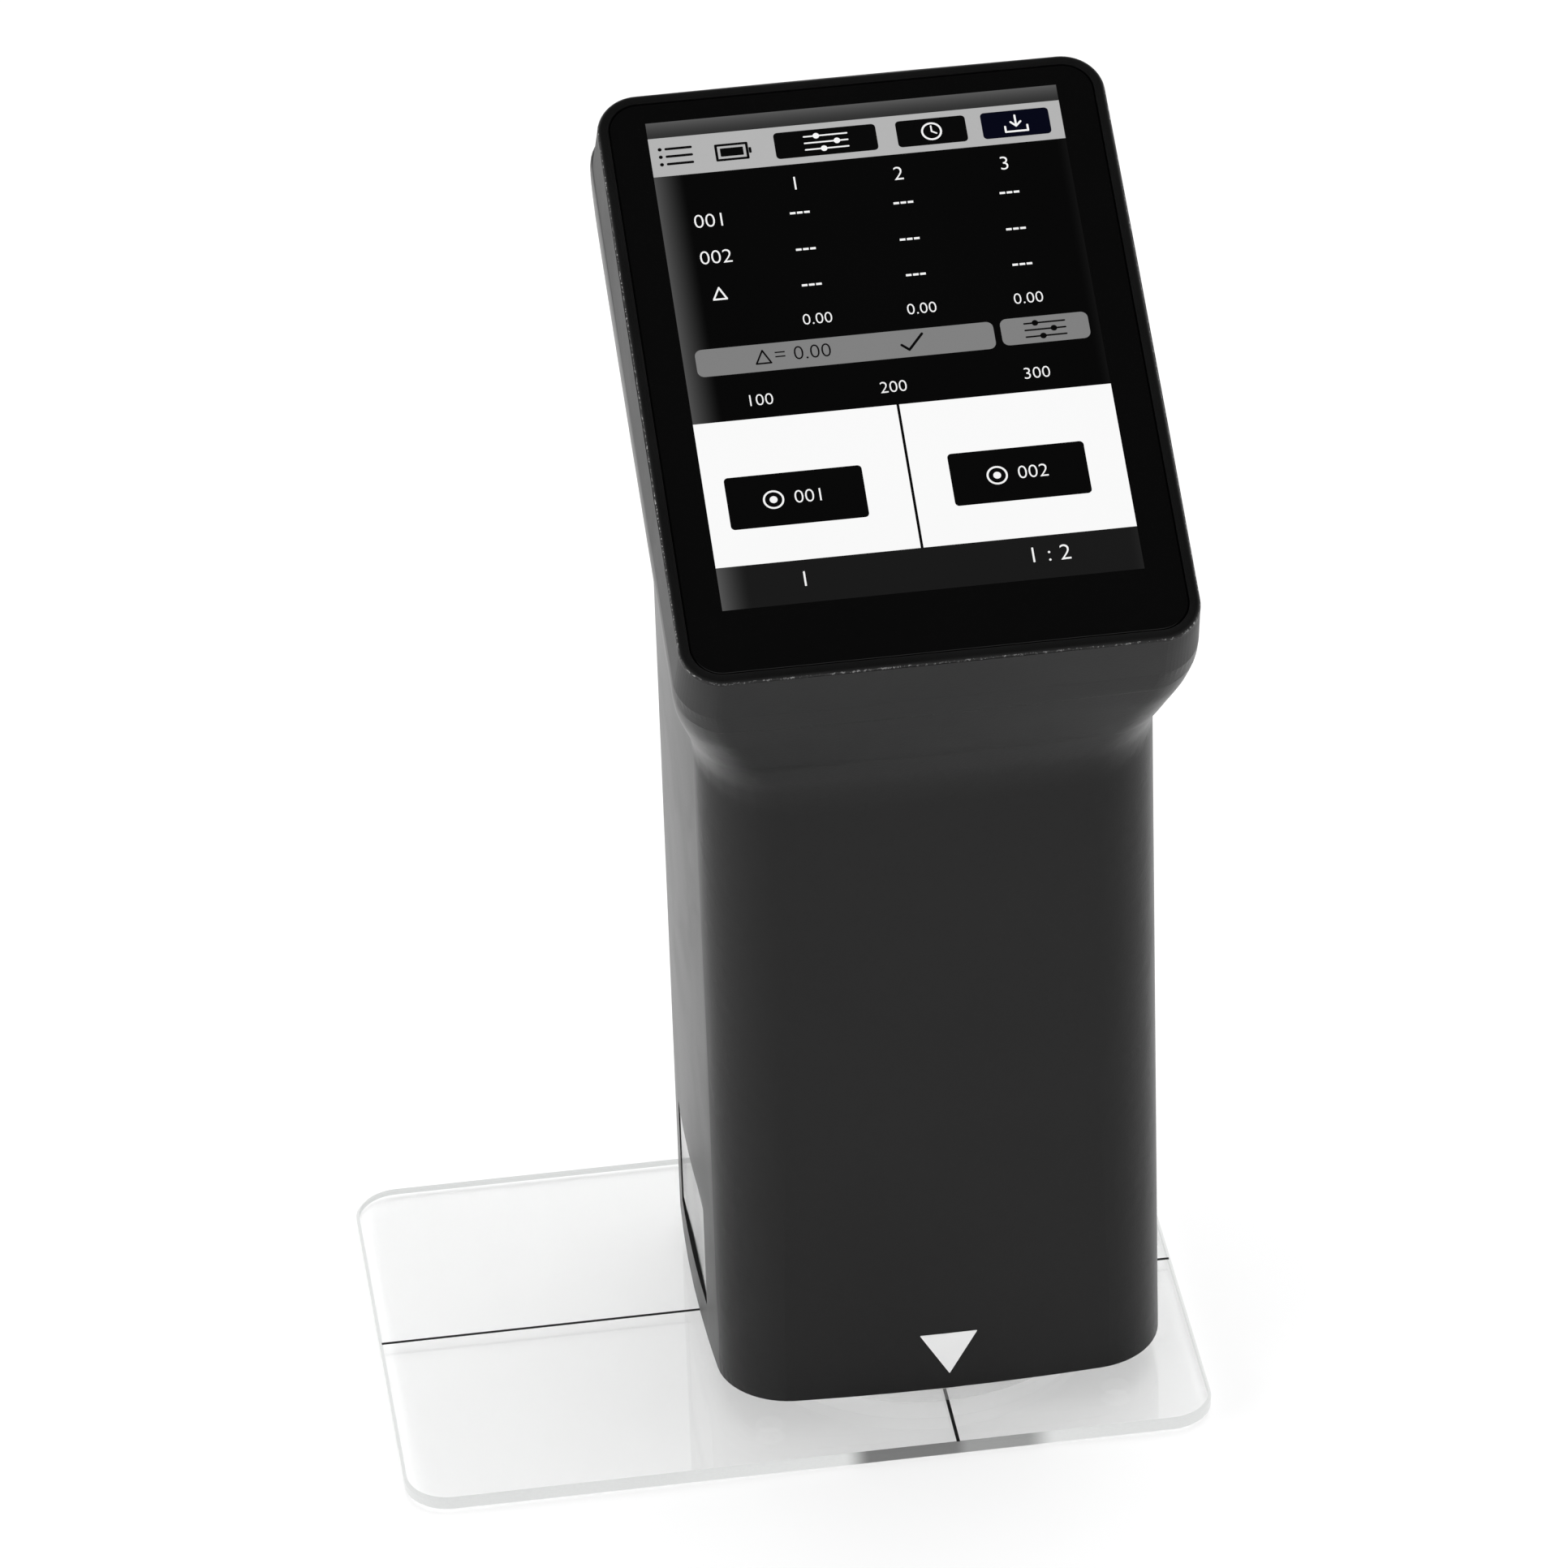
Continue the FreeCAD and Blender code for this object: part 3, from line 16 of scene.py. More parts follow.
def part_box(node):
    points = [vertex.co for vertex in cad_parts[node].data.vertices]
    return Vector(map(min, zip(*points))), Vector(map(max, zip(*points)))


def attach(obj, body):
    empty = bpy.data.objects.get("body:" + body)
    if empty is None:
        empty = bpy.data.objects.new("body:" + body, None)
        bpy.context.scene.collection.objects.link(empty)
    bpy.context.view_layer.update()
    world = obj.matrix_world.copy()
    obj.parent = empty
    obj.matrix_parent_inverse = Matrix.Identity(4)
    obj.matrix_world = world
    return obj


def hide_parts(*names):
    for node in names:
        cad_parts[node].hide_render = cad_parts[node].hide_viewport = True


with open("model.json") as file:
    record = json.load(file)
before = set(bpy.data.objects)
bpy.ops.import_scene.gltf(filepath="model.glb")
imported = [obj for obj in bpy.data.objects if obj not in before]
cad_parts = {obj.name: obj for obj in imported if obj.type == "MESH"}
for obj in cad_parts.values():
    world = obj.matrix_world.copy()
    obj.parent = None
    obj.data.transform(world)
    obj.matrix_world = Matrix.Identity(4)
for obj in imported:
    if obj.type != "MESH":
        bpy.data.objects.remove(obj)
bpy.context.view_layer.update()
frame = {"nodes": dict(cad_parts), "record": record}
MM = 0.001

# %% [markdown]
# The picture was taken from the front, a little from the left and well above the display.
# A long lens keeps the upright edges almost parallel. The angles below turn the camera about its own
# axes: first the tilt up from looking straight down, then the turn round the object, and last a
# small roll, because the photographer did not hold the camera quite level.

# %% Camera
CAMERA_PLACE = Vector((-0.14393, -1.02343, 0.76107))
CAMERA_TURN = math.radians(-7.1321)
CAMERA_HEIGHT_ANGLE = math.radians(33.2261)
CAMERA_ROLL = math.radians(-1.9640)
LENS_MM = 216.378
SENSOR_MM = 36.0

camera_data = bpy.data.cameras.new("photo_camera")
camera_data.lens = LENS_MM
camera_data.sensor_width = SENSOR_MM
camera = bpy.data.objects.new("photo_camera", camera_data)
camera.matrix_world = (Matrix.Translation(CAMERA_PLACE)
                       @ Matrix.Rotation(CAMERA_TURN, 4, "Z")
                       @ Matrix.Rotation(math.pi / 2 - CAMERA_HEIGHT_ANGLE, 4, "X")
                       @ Matrix.Rotation(CAMERA_ROLL, 4, "Z"))
bpy.context.collection.objects.link(camera)
bpy.context.scene.camera = camera
bpy.context.scene.view_settings.view_transform = "Standard"
print("camera", round(camera.location.length, 3), "m from the measuring opening")

# %% [markdown]
# Node trees are easier to read with two small helpers. One adds a node and fills in its sockets by
# name, the other joins two sockets. Every finish below is made with them.

# %% Node helpers
def add_node(tree, kind, settings=None, **sockets):
    made = tree.nodes.new(kind)
    for name, value in (settings or {}).items():
        setattr(made, name, value)
    for name, value in sockets.items():
        made.inputs[name.replace("_", " ")].default_value = value
    return made


def join(tree, source, target):
    tree.links.new(source, target)


def new_group(name, inputs, outputs):
    tree = bpy.data.node_groups.new(name, "ShaderNodeTree")
    for label, value in inputs.items():
        socket = tree.interface.new_socket(label, in_out="INPUT", socket_type="NodeSocketFloat")
        socket.default_value = value
    for label in outputs:
        tree.interface.new_socket(label, in_out="OUTPUT", socket_type="NodeSocketFloat")
    return tree, tree.nodes.new("NodeGroupInput"), tree.nodes.new("NodeGroupOutput")


print("node helpers ready")

# %% [markdown]
# The photo table is a white sheet in a bright tent, open to the dark room at the top. That is why the
# glass of the display, which looks straight up, mirrors almost nothing, while the sides of the grip
# mirror the white sheet. The world is white for what the camera and mirrors see and softer for plain
# light, so the background stays white without too much light on the object. The plain light comes
# a little more from the back than from the camera's side, which is the tent's open end.

# %% World
TENT_FRONT, TENT_BACK = 0.34, 0.42
TENT_WHITE = 1.0
ROOF_DARK = 0.06
ROOF_FROM, ROOF_TO = 0.45, 0.85

world = bpy.data.worlds.new("photo_tent")
bpy.context.scene.world = world
world.use_nodes = True
tent = world.node_tree
tent.nodes.clear()
tent_way = add_node(tent, "ShaderNodeTexCoord")
tent_axes = add_node(tent, "ShaderNodeSeparateXYZ")
tent_roof = add_node(tent, "ShaderNodeMapRange", {"interpolation_type": "SMOOTHSTEP"})
for label, value in (("From Min", ROOF_FROM), ("From Max", ROOF_TO),
                     ("To Min", TENT_WHITE), ("To Max", ROOF_DARK)):
    tent_roof.inputs[label].default_value = value
tent_path = add_node(tent, "ShaderNodeLightPath")
tent_mirror = add_node(tent, "ShaderNodeMath", {"operation": "MAXIMUM"})
tent_seen = add_node(tent, "ShaderNodeBackground")
tent_depth = add_node(tent, "ShaderNodeMapRange")
for label, value in (("From Min", -1.0), ("From Max", 1.0), ("To Min", TENT_FRONT), ("To Max", TENT_BACK)):
    tent_depth.inputs[label].default_value = value
tent_plain = add_node(tent, "ShaderNodeBackground")
tent_clear = add_node(tent, "ShaderNodeBackground")
tent_any = add_node(tent, "ShaderNodeMixShader")
tent_mix = add_node(tent, "ShaderNodeMixShader")
tent_out = add_node(tent, "ShaderNodeOutputWorld")
join(tent, tent_way.outputs["Generated"], tent_axes.inputs["Vector"])
join(tent, tent_axes.outputs["Z"], tent_roof.inputs["Value"])
join(tent, tent_axes.outputs["Y"], tent_depth.inputs["Value"])
join(tent, tent_depth.outputs["Result"], tent_plain.inputs["Strength"])
join(tent, tent_roof.outputs["Result"], tent_seen.inputs["Strength"])
join(tent, tent_path.outputs["Is Camera Ray"], tent_mirror.inputs[0])
join(tent, tent_path.outputs["Is Transmission Ray"], tent_mirror.inputs[1])
join(tent, tent_path.outputs["Is Glossy Ray"], tent_any.inputs["Fac"])
join(tent, tent_plain.outputs[0], tent_any.inputs[1])
join(tent, tent_seen.outputs[0], tent_any.inputs[2])
join(tent, tent_mirror.outputs[0], tent_mix.inputs["Fac"])
join(tent, tent_any.outputs[0], tent_mix.inputs[1])
join(tent, tent_clear.outputs[0], tent_mix.inputs[2])
join(tent, tent_mix.outputs[0], tent_out.inputs["Surface"])
print("tent light from", TENT_FRONT, "at the front to", TENT_BACK, "at the back")

# %% [markdown]
# The sheet of paper under the object is one large square. It is partly a plain white glow and partly
# real paper under real light, so that a soft shadow shows where the object stands. The share of real
# light differs: bare paper is almost burnt out to white, as in the picture, while the paper seen
# through the plate or mirrored in the grip keeps more of the shadow.

# %% Paper floor
PAPER_HALF = 4.0
PAPER_BELOW = 0.0004
GLOW_SHARES = {"Is Camera Ray": 0.72, "Is Glossy Ray": 0.45, "Is Transmission Ray": 0.04}
PAPER_TONES = ((0.93, 0.93, 0.93, 1), (0.97, 0.97, 0.97, 1))
PAPER_GRAIN = 60.0

paper_material = bpy.data.materials.new("white_paper")
paper_material.use_nodes = True
paper = paper_material.node_tree
paper.nodes.clear()
paper_way = add_node(paper, "ShaderNodeTexCoord")
paper_noise = add_node(paper, "ShaderNodeTexNoise", Scale=PAPER_GRAIN)
paper_tone = add_node(paper, "ShaderNodeMix", {"data_type": "RGBA"})
paper_tone.inputs[6].default_value, paper_tone.inputs[7].default_value = PAPER_TONES
paper_matt = add_node(paper, "ShaderNodeBsdfDiffuse")
paper_glow = add_node(paper, "ShaderNodeEmission")
paper_path = add_node(paper, "ShaderNodeLightPath")
paper_mix = add_node(paper, "ShaderNodeMixShader")
paper_out = add_node(paper, "ShaderNodeOutputMaterial")
join(paper, paper_way.outputs["Object"], paper_noise.inputs["Vector"])
join(paper, paper_noise.outputs["Fac"], paper_tone.inputs[0])
join(paper, paper_tone.outputs[2], paper_matt.inputs["Color"])
share_so_far = None
for ray_kind, share in GLOW_SHARES.items():
    part_share = add_node(paper, "ShaderNodeMath", {"operation": "MULTIPLY_ADD", "use_clamp": True})
    part_share.inputs[1].default_value = share
    part_share.inputs[2].default_value = 0.0
    join(paper, paper_path.outputs[ray_kind], part_share.inputs[0])
    if share_so_far:
        join(paper, share_so_far, part_share.inputs[2])
    share_so_far = part_share.outputs[0]
join(paper, share_so_far, paper_mix.inputs["Fac"])
join(paper, paper_matt.outputs[0], paper_mix.inputs[1])
join(paper, paper_glow.outputs[0], paper_mix.inputs[2])
join(paper, paper_mix.outputs[0], paper_out.inputs["Surface"])

sheet = bmesh.new()
bmesh.ops.create_grid(sheet, x_segments=1, y_segments=1, size=PAPER_HALF)
bmesh.ops.translate(sheet, verts=sheet.verts, vec=(0, 0, -PAPER_BELOW))
paper_mesh = bpy.data.meshes.new("paper_floor")
sheet.to_mesh(paper_mesh)
sheet.free()
paper_mesh.materials.append(paper_material)
paper_floor = bpy.data.objects.new("paper_floor", paper_mesh)
bpy.context.collection.objects.link(paper_floor)
print("paper", PAPER_HALF * 2, "m wide")

# %% [markdown]
# Three soft boxes light the table. A long low one on the left rakes across the grip, so that its round
# corner shades off slowly from the bright side to the dark front. A weaker one does the same on the
# right, and a large one overhead lays the soft shadow under the object. None of them is seen by the
# camera or shows as a mirrored square in the glass.

# %% Soft boxes
SOFT_BOXES = {
    "left_box": ((-1.3, -0.25, 0.26), (1.2, 0.45), 30.0),
    "right_box": ((1.3, -0.1, 0.3), (1.2, 0.45), 15.0),
    "roof_box": ((0.15, 0.45, 1.4), (1.2, 1.2), 20.0),
}
AIM = Vector((0, 0, 0.07))

for box_name, (place, (box_wide, box_tall), power) in SOFT_BOXES.items():
    lamp = bpy.data.lights.new(box_name, "AREA")
    lamp.shape = "RECTANGLE"
    lamp.size, lamp.size_y = box_wide, box_tall
    lamp.energy = power
    box = bpy.data.objects.new(box_name, lamp)
    box.location = place
    box.rotation_euler = (AIM - Vector(place)).to_track_quat("-Z", "Y").to_euler()
    box.visible_glossy = box.visible_camera = False
    bpy.context.collection.objects.link(box)
print(len(SOFT_BOXES), "soft boxes")

# %% [markdown]
# Moulded plastic, rubber, metal and card all vary a little from place to place. One node group makes
# three masks from the object's own coordinates: Mottle for slow changes of colour, Grain for the fine
# texture of the mould and Smudge for the faint marks of hands. Each finish uses the group with its
# own grain size, given in grains per metre.

# %% Group for mould grain
HAND_SIZE = 75.0
SMUDGE_FROM, SMUDGE_TO = 0.35, 0.7

grain_tree, grain_in, grain_out = new_group(
    "mould_grain", {"Grain Size": 2600.0, "Mottle Size": 40.0}, ("Mottle", "Grain", "Smudge"))
grain_way = add_node(grain_tree, "ShaderNodeTexCoord")
grain_fine = add_node(grain_tree, "ShaderNodeTexNoise", Detail=2.0, Roughness=0.6)
grain_slow = add_node(grain_tree, "ShaderNodeTexNoise", Detail=4.0, Roughness=0.55)
grain_hand = add_node(grain_tree, "ShaderNodeTexNoise", Detail=3.0, Scale=HAND_SIZE, Distortion=0.8)
grain_mix = add_node(grain_tree, "ShaderNodeMix", {"data_type": "FLOAT"}, Factor=0.35)
grain_smudge = add_node(grain_tree, "ShaderNodeMapRange", {"interpolation_type": "SMOOTHSTEP"})
grain_smudge.inputs["From Min"].default_value = SMUDGE_FROM
grain_smudge.inputs["From Max"].default_value = SMUDGE_TO
for noise in (grain_fine, grain_slow, grain_hand):
    join(grain_tree, grain_way.outputs["Object"], noise.inputs["Vector"])
join(grain_tree, grain_in.outputs["Grain Size"], grain_fine.inputs["Scale"])
join(grain_tree, grain_in.outputs["Mottle Size"], grain_slow.inputs["Scale"])
join(grain_tree, grain_slow.outputs["Fac"], grain_mix.inputs[2])
join(grain_tree, grain_fine.outputs["Fac"], grain_mix.inputs[3])
join(grain_tree, grain_hand.outputs["Fac"], grain_smudge.inputs["Value"])
join(grain_tree, grain_mix.outputs[0], grain_out.inputs["Mottle"])
join(grain_tree, grain_fine.outputs["Fac"], grain_out.inputs["Grain"])
join(grain_tree, grain_smudge.outputs["Result"], grain_out.inputs["Smudge"])
print("group", grain_tree.name, "has", len(grain_tree.nodes), "nodes")

# %% [markdown]
# A finish is a pair of colours that the Mottle mask mixes, a range of roughness that the Smudge mask
# moves through, and a bump from the Grain mask. What stays the same all over, such as the metal share
# or the strength of the mirror, is set on the shader itself.

# %% Finish maker
RELIEF_DEPTH = 0.0001


def finish(name, dark, light, rough, grain=2600.0, bump=0.15, mottle=40.0, **plain):
    material = bpy.data.materials.new(name)
    material.use_nodes = True
    tree = material.node_tree
    shader = tree.nodes["Principled BSDF"]
    marks = add_node(tree, "ShaderNodeGroup", {"node_tree": grain_tree})
    marks.inputs["Grain Size"].default_value = grain
    marks.inputs["Mottle Size"].default_value = mottle
    tone = add_node(tree, "ShaderNodeMix", {"data_type": "RGBA"})
    tone.inputs[6].default_value = (*dark, 1)
    tone.inputs[7].default_value = (*light, 1)
    gloss = add_node(tree, "ShaderNodeMapRange")
    gloss.inputs["To Min"].default_value, gloss.inputs["To Max"].default_value = rough
    relief = add_node(tree, "ShaderNodeBump", Strength=bump, Distance=RELIEF_DEPTH)
    join(tree, marks.outputs["Mottle"], tone.inputs[0])
    join(tree, tone.outputs[2], shader.inputs["Base Color"])
    join(tree, marks.outputs["Smudge"], gloss.inputs["Value"])
    join(tree, gloss.outputs["Result"], shader.inputs["Roughness"])
    join(tree, marks.outputs["Grain"], relief.inputs["Height"])
    join(tree, relief.outputs["Normal"], shader.inputs["Normal"])
    for label, value in plain.items():
        shader.inputs[label.replace("_", " ")].default_value = value
    return material


def grey(level):
    return (level, level, level)


print("finish maker ready")

# %% [markdown]
# The outer parts: the grip and neck are satin black with a fine spark texture, the skirt of the head
# is the same plastic from another mould, the rim round the glass is smoother, and the door by the
# charging socket is polished. The foot of the instrument is white, its nose black.

# %% Outer finishes
finishes = {
    "housing_black": finish("satin_black_grip", grey(0.007), grey(0.011), (0.325, 0.35), 3200, 0.12,
                            Specular_IOR_Level=0.15),
    "skirt_black": finish("satin_black_skirt", grey(0.009), grey(0.013), (0.46, 0.49), 3200, 0.10,
                          Specular_IOR_Level=0.17),
    "rim_black": finish("smooth_black_rim", grey(0.002), grey(0.005), (0.30, 0.40), 5200, 0.16,
                        Specular_IOR_Level=0.2),
    "cover_glass": finish("black_cover_glass", grey(0.0008), grey(0.0016), (0.02, 0.06), 900, 0.004,
                          Specular_IOR_Level=0.4),
    "door_gloss": finish("polished_door", grey(0.012), grey(0.018), (0.08, 0.16), 1800, 0.02,
                         Specular_IOR_Level=0.6),
    "collar_white": finish("white_foot", (0.76, 0.76, 0.75), (0.82, 0.82, 0.81), (0.35, 0.5), 2600, 0.1),
    "nose_black": finish("matt_black_nose", grey(0.012), grey(0.022), (0.55, 0.7), 3000, 0.2),
    "base_black": finish("base_black", grey(0.014), grey(0.024), (0.45, 0.6), 2600, 0.2),
    "key_rubber": finish("key_rubber", grey(0.018), grey(0.03), (0.55, 0.75), 4200, 0.25),
}
print(len(finishes), "outer finishes")

# %% [markdown]
# The inner parts are seen only when the case is opened or cut, yet each has its own honest finish:
# turned and stamped metal, green boards, amber film, rubber seals and the white coating of the
# mixing sphere. Metals get their look from a metal share of 1 and a roughness that varies.

# %% Inner finishes
finishes.update({
    "steel": finish("zinc_screw", grey(0.42), grey(0.58), (0.22, 0.4), 6000, 0.12, Metallic=1.0),
    "pin_steel": finish("drawn_pin", grey(0.5), grey(0.62), (0.18, 0.3), 7000, 0.08, Metallic=1.0),
    "socket_steel": finish("stamped_socket", grey(0.5), grey(0.64), (0.2, 0.34), 5000, 0.08, Metallic=1.0),
    "bracket_metal": finish("stamped_bracket", grey(0.45), grey(0.6), (0.3, 0.48), 3500, 0.12, Metallic=1.0),
    "standoff_brass": finish("turned_brass", (0.62, 0.44, 0.17), (0.76, 0.56, 0.25), (0.2, 0.36), 5000, 0.1,
                             Metallic=1.0),
    "seal_rubber": finish("foam_seal", grey(0.012), grey(0.03), (0.75, 0.9), 5200, 0.4),
    "flex_amber": finish("amber_film", (0.36, 0.15, 0.02), (0.5, 0.23, 0.04), (0.2, 0.34), 1600, 0.05),
    "board_green": finish("green_board", (0.012, 0.09, 0.035), (0.02, 0.14, 0.055), (0.3, 0.42), 1500, 0.12),
    "sphere_white": finish("sphere_coating", grey(0.86), grey(0.92), (0.85, 0.95), 5200, 0.3),
    "tube_black": finish("black_tube", grey(0.01), grey(0.018), (0.6, 0.8), 4200, 0.2),
    "chip_black": finish("chip_body", grey(0.014), grey(0.03), (0.4, 0.55), 5200, 0.2),
    "cable_grey": finish("flat_cable", grey(0.22), grey(0.3), (0.4, 0.5), 2600, 0.12),
    "battery_wrap": finish("battery_wrap", (0.1, 0.16, 0.3), (0.14, 0.21, 0.38), (0.3, 0.45), 1800, 0.1),
    "cradle_black": finish("cradle_black", grey(0.014), grey(0.026), (0.45, 0.6), 3000, 0.2),
    "display": finish("display_back", grey(0.03), grey(0.05), (0.3, 0.45), 2400, 0.06),
    "led_clear": finish("led_dome", (0.8, 0.78, 0.6), (0.9, 0.88, 0.72), (0.05, 0.14), 1200, 0.02,
                        Transmission_Weight=0.6, IOR=1.5),
    "lens_glass": finish("lens_glass", (0.9, 0.93, 0.92), (0.96, 0.98, 0.97), (0.01, 0.04), 900, 0.004,
                         Transmission_Weight=1.0, IOR=1.52),
    "window_glass": finish("window_glass", (0.9, 0.93, 0.92), (0.96, 0.98, 0.97), (0.01, 0.04), 900, 0.004,
                           Transmission_Weight=1.0, IOR=1.52),
})
print(len(finishes), "finishes so far")

# %% [markdown]
# The locating plate is clear acrylic. Real glass shading doubles the printed lines and mirrors the
# grip for free, because light really bends in it. The colour is a hair under white. Light goes to and
# fro in a clear sheet, so the renderer may follow it through more turns than usual. The thin ring that
# centres the instrument is frosted: a see-through white that takes no sharp mirror lines.

# %% Clear acrylic
LIGHT_TURNS = 32

for limit in ("max_bounces", "glossy_bounces", "transmission_bounces"):
    setattr(bpy.context.scene.cycles, limit, LIGHT_TURNS)
finishes["clear_acrylic"] = finish(
    "clear_acrylic", (0.988, 0.992, 0.990), (0.997, 0.999, 0.998), (0.0, 0.004), 700, 0.0,
    Transmission_Weight=1.0, IOR=1.49)
ring_frost = finish("frosted_ring", grey(0.84), grey(0.92), (0.4, 0.55), 3200, 0.1, Alpha=0.16)
print("plate finish ready")

# %% [markdown]
# The sawn edge of the plate is satin, and it glows softly, because the sheet leads light to it from all
# sides: that part is given as a faint emission. Only in the middle of the front the light has to pass
# the dark nose in the hole, so the edge is darker there. A node group makes that mask from the place
# on the plate. Its left and right halves differ a little, as they do in the picture.

# %% Edge of the plate
EDGE_STEPS = ((-15.5, -11.8, 0.80), (-0.6, 1.4, -0.20), (9.0, 13.2, -0.60))
EDGE_FRONT = (-30.0, -33.0)
EDGE_DARK = 0.02
EDGE_GLOW = ((0.62, 0.63, 0.625, 1), (0.74, 0.75, 0.745, 1))

shade_tree, shade_in, shade_out = new_group("nose_shade", {"Depth": 1.0}, ("Shade",))
shade_way = add_node(shade_tree, "ShaderNodeTexCoord")
shade_axes = add_node(shade_tree, "ShaderNodeSeparateXYZ")
join(shade_tree, shade_way.outputs["Object"], shade_axes.inputs["Vector"])
shade_front = add_node(shade_tree, "ShaderNodeMapRange")
for label, value in zip(("From Min", "From Max"), EDGE_FRONT):
    shade_front.inputs[label].default_value = value * MM
join(shade_tree, shade_axes.outputs["Y"], shade_front.inputs["Value"])
shade_so_far = shade_in.outputs["Depth"]
shade_sum = None
for start, stop, amount in EDGE_STEPS:
    step = add_node(shade_tree, "ShaderNodeMapRange", {"interpolation_type": "SMOOTHSTEP"})
    for label, value in (("From Min", start * MM), ("From Max", stop * MM), ("To Max", amount)):
        step.inputs[label].default_value = value
    join(shade_tree, shade_axes.outputs["X"], step.inputs["Value"])
    total = add_node(shade_tree, "ShaderNodeMath", {"operation": "ADD"})
    total.inputs[0].default_value = 0.0
    if shade_sum:
        join(shade_tree, shade_sum, total.inputs[0])
    join(shade_tree, step.outputs["Result"], total.inputs[1])
    shade_sum = total.outputs[0]
for factor in (shade_front.outputs["Result"], shade_sum):
    product = add_node(shade_tree, "ShaderNodeMath", {"operation": "MULTIPLY"})
    join(shade_tree, shade_so_far, product.inputs[0])
    join(shade_tree, factor, product.inputs[1])
    shade_so_far = product.outputs[0]
join(shade_tree, shade_so_far, shade_out.inputs["Shade"])

plate_edge = finish("plate_edge", grey(0.03), grey(0.05), (0.35, 0.5), 2400, 0.06, Specular_IOR_Level=0.1,
                    Emission_Strength=1.0)
edge_tree = plate_edge.node_tree
edge_marks = next(node for node in edge_tree.nodes if node.type == "GROUP")
edge_shade = add_node(edge_tree, "ShaderNodeGroup", {"node_tree": shade_tree})
edge_glow = add_node(edge_tree, "ShaderNodeMix", {"data_type": "RGBA"})
edge_glow.inputs[6].default_value, edge_glow.inputs[7].default_value = EDGE_GLOW
edge_dim = add_node(edge_tree, "ShaderNodeMix", {"data_type": "RGBA"})
edge_dim.inputs[7].default_value = (*grey(EDGE_DARK), 1)
join(edge_tree, edge_marks.outputs["Mottle"], edge_glow.inputs[0])
join(edge_tree, edge_shade.outputs["Shade"], edge_dim.inputs[0])
join(edge_tree, edge_glow.outputs[2], edge_dim.inputs[6])
join(edge_tree, edge_dim.outputs[2], edge_tree.nodes["Principled BSDF"].inputs["Emission Color"])
print("edge finish has", len(edge_tree.nodes), "nodes and a mask of", len(shade_tree.nodes))

# %% [markdown]
# The record of the model names a material slot for every part. A loop puts the finish of that slot on
# the part's mesh, so screws, boards and seals are all dressed at once and none is forgotten.

# %% Dress the solid parts
for row in frame["record"]["subparts"]:
    part_mesh = frame["nodes"][row["node"]].data
    part_mesh.materials.clear()
    part_mesh.materials.append(finishes[row["material_slot"]])
frame["nodes"]["plate_ring"].data.materials[0] = ring_frost

# %% [markdown]
# Most of the added pieces are thin plates with rounded corners: keys on the display, lines, the mark
# on the grip. One helper makes such a slab. It starts from a square, rounds its corners with a bevel
# of the vertices and pulls the face up with an extrusion, which leaves a closed solid.

# %% Slab helper
SHARP_FROM = math.radians(60)


def rounded_face(width, length, corner, level, steps=5):
    made = bmesh.new()
    bmesh.ops.create_grid(made, x_segments=1, y_segments=1, size=0.5)
    bmesh.ops.scale(made, vec=(width * MM, length * MM, 1), verts=made.verts)
    if corner:
        bmesh.ops.bevel(made, geom=made.verts[:], offset=corner * MM, affect="VERTICES",
                        segments=steps, profile=0.5, material=-1)
    bmesh.ops.translate(made, vec=(0, 0, level * MM), verts=made.verts)
    return made


def slab(width, length, corner, low, high, steps=5):
    made = rounded_face(width, length, corner, low, steps)
    pull_up(made, high - low)
    return made


def pull_up(made, height):
    raised = bmesh.ops.extrude_face_region(made, geom=made.faces[:])["geom"]
    top = [item for item in raised if isinstance(item, bmesh.types.BMVert)]
    bmesh.ops.translate(made, vec=(0, 0, height * MM), verts=top)
    bmesh.ops.recalc_face_normals(made, faces=made.faces[:])


print("slab helper ready")

# %% [markdown]
# Many small slabs belong to one piece, such as all the marks of the display. The next two helpers
# pour one shape into a larger one with its own material number, and turn the result into an object
# that rides on a body of the model.

# %% Gather and place helpers
SMOOTH_BELOW = math.radians(35)


def pour(target, made, place, material=0):
    for face in made.faces:
        face.material_index = material
    made.transform(place)
    cup = bpy.data.meshes.new("cup")
    made.to_mesh(cup)
    made.free()
    target.from_mesh(cup)
    bpy.data.meshes.remove(cup)


def place_piece(name, made, materials, body, slot, *nodes, smooth_below=SMOOTH_BELOW):
    mesh = bpy.data.meshes.new(name)
    made.to_mesh(mesh)
    made.free()
    for material in materials:
        mesh.materials.append(material)
    mesh.shade_smooth()
    mesh.set_sharp_from_angle(angle=smooth_below)
    piece = bpy.data.objects.new(name, mesh)
    bpy.context.collection.objects.link(piece)
    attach(piece, body)
    if nodes:
        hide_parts(*nodes)
    print(name, "has", len(mesh.polygons), "faces")
    return piece


print("gather and place helpers ready")

# %% [markdown]
# The clear plate is sawn from sheet, its corners are rounded and its edges flame polished, which
# leaves a tiny round on every edge. That round draws the thin grey lines along the plate in the
# picture, so the piece here has it, as a chamfer. The hole for the nose is joined to the outline with a
# bridge between the two loops of edges.

# %% Clear plate
PLATE_LOW, PLATE_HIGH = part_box("locating_plate")
PLATE_CORNER, PLATE_EDGE_ROUND, NOSE_HOLE = 6.0, 0.4, 13.0
CORNER_STEPS, HOLE_STEPS = 10, 96
EDGE_BELOW = 0.9
plate_size = (Vector(PLATE_HIGH) - Vector(PLATE_LOW)) / MM
plate_middle = (Vector(PLATE_HIGH) + Vector(PLATE_LOW)) / 2

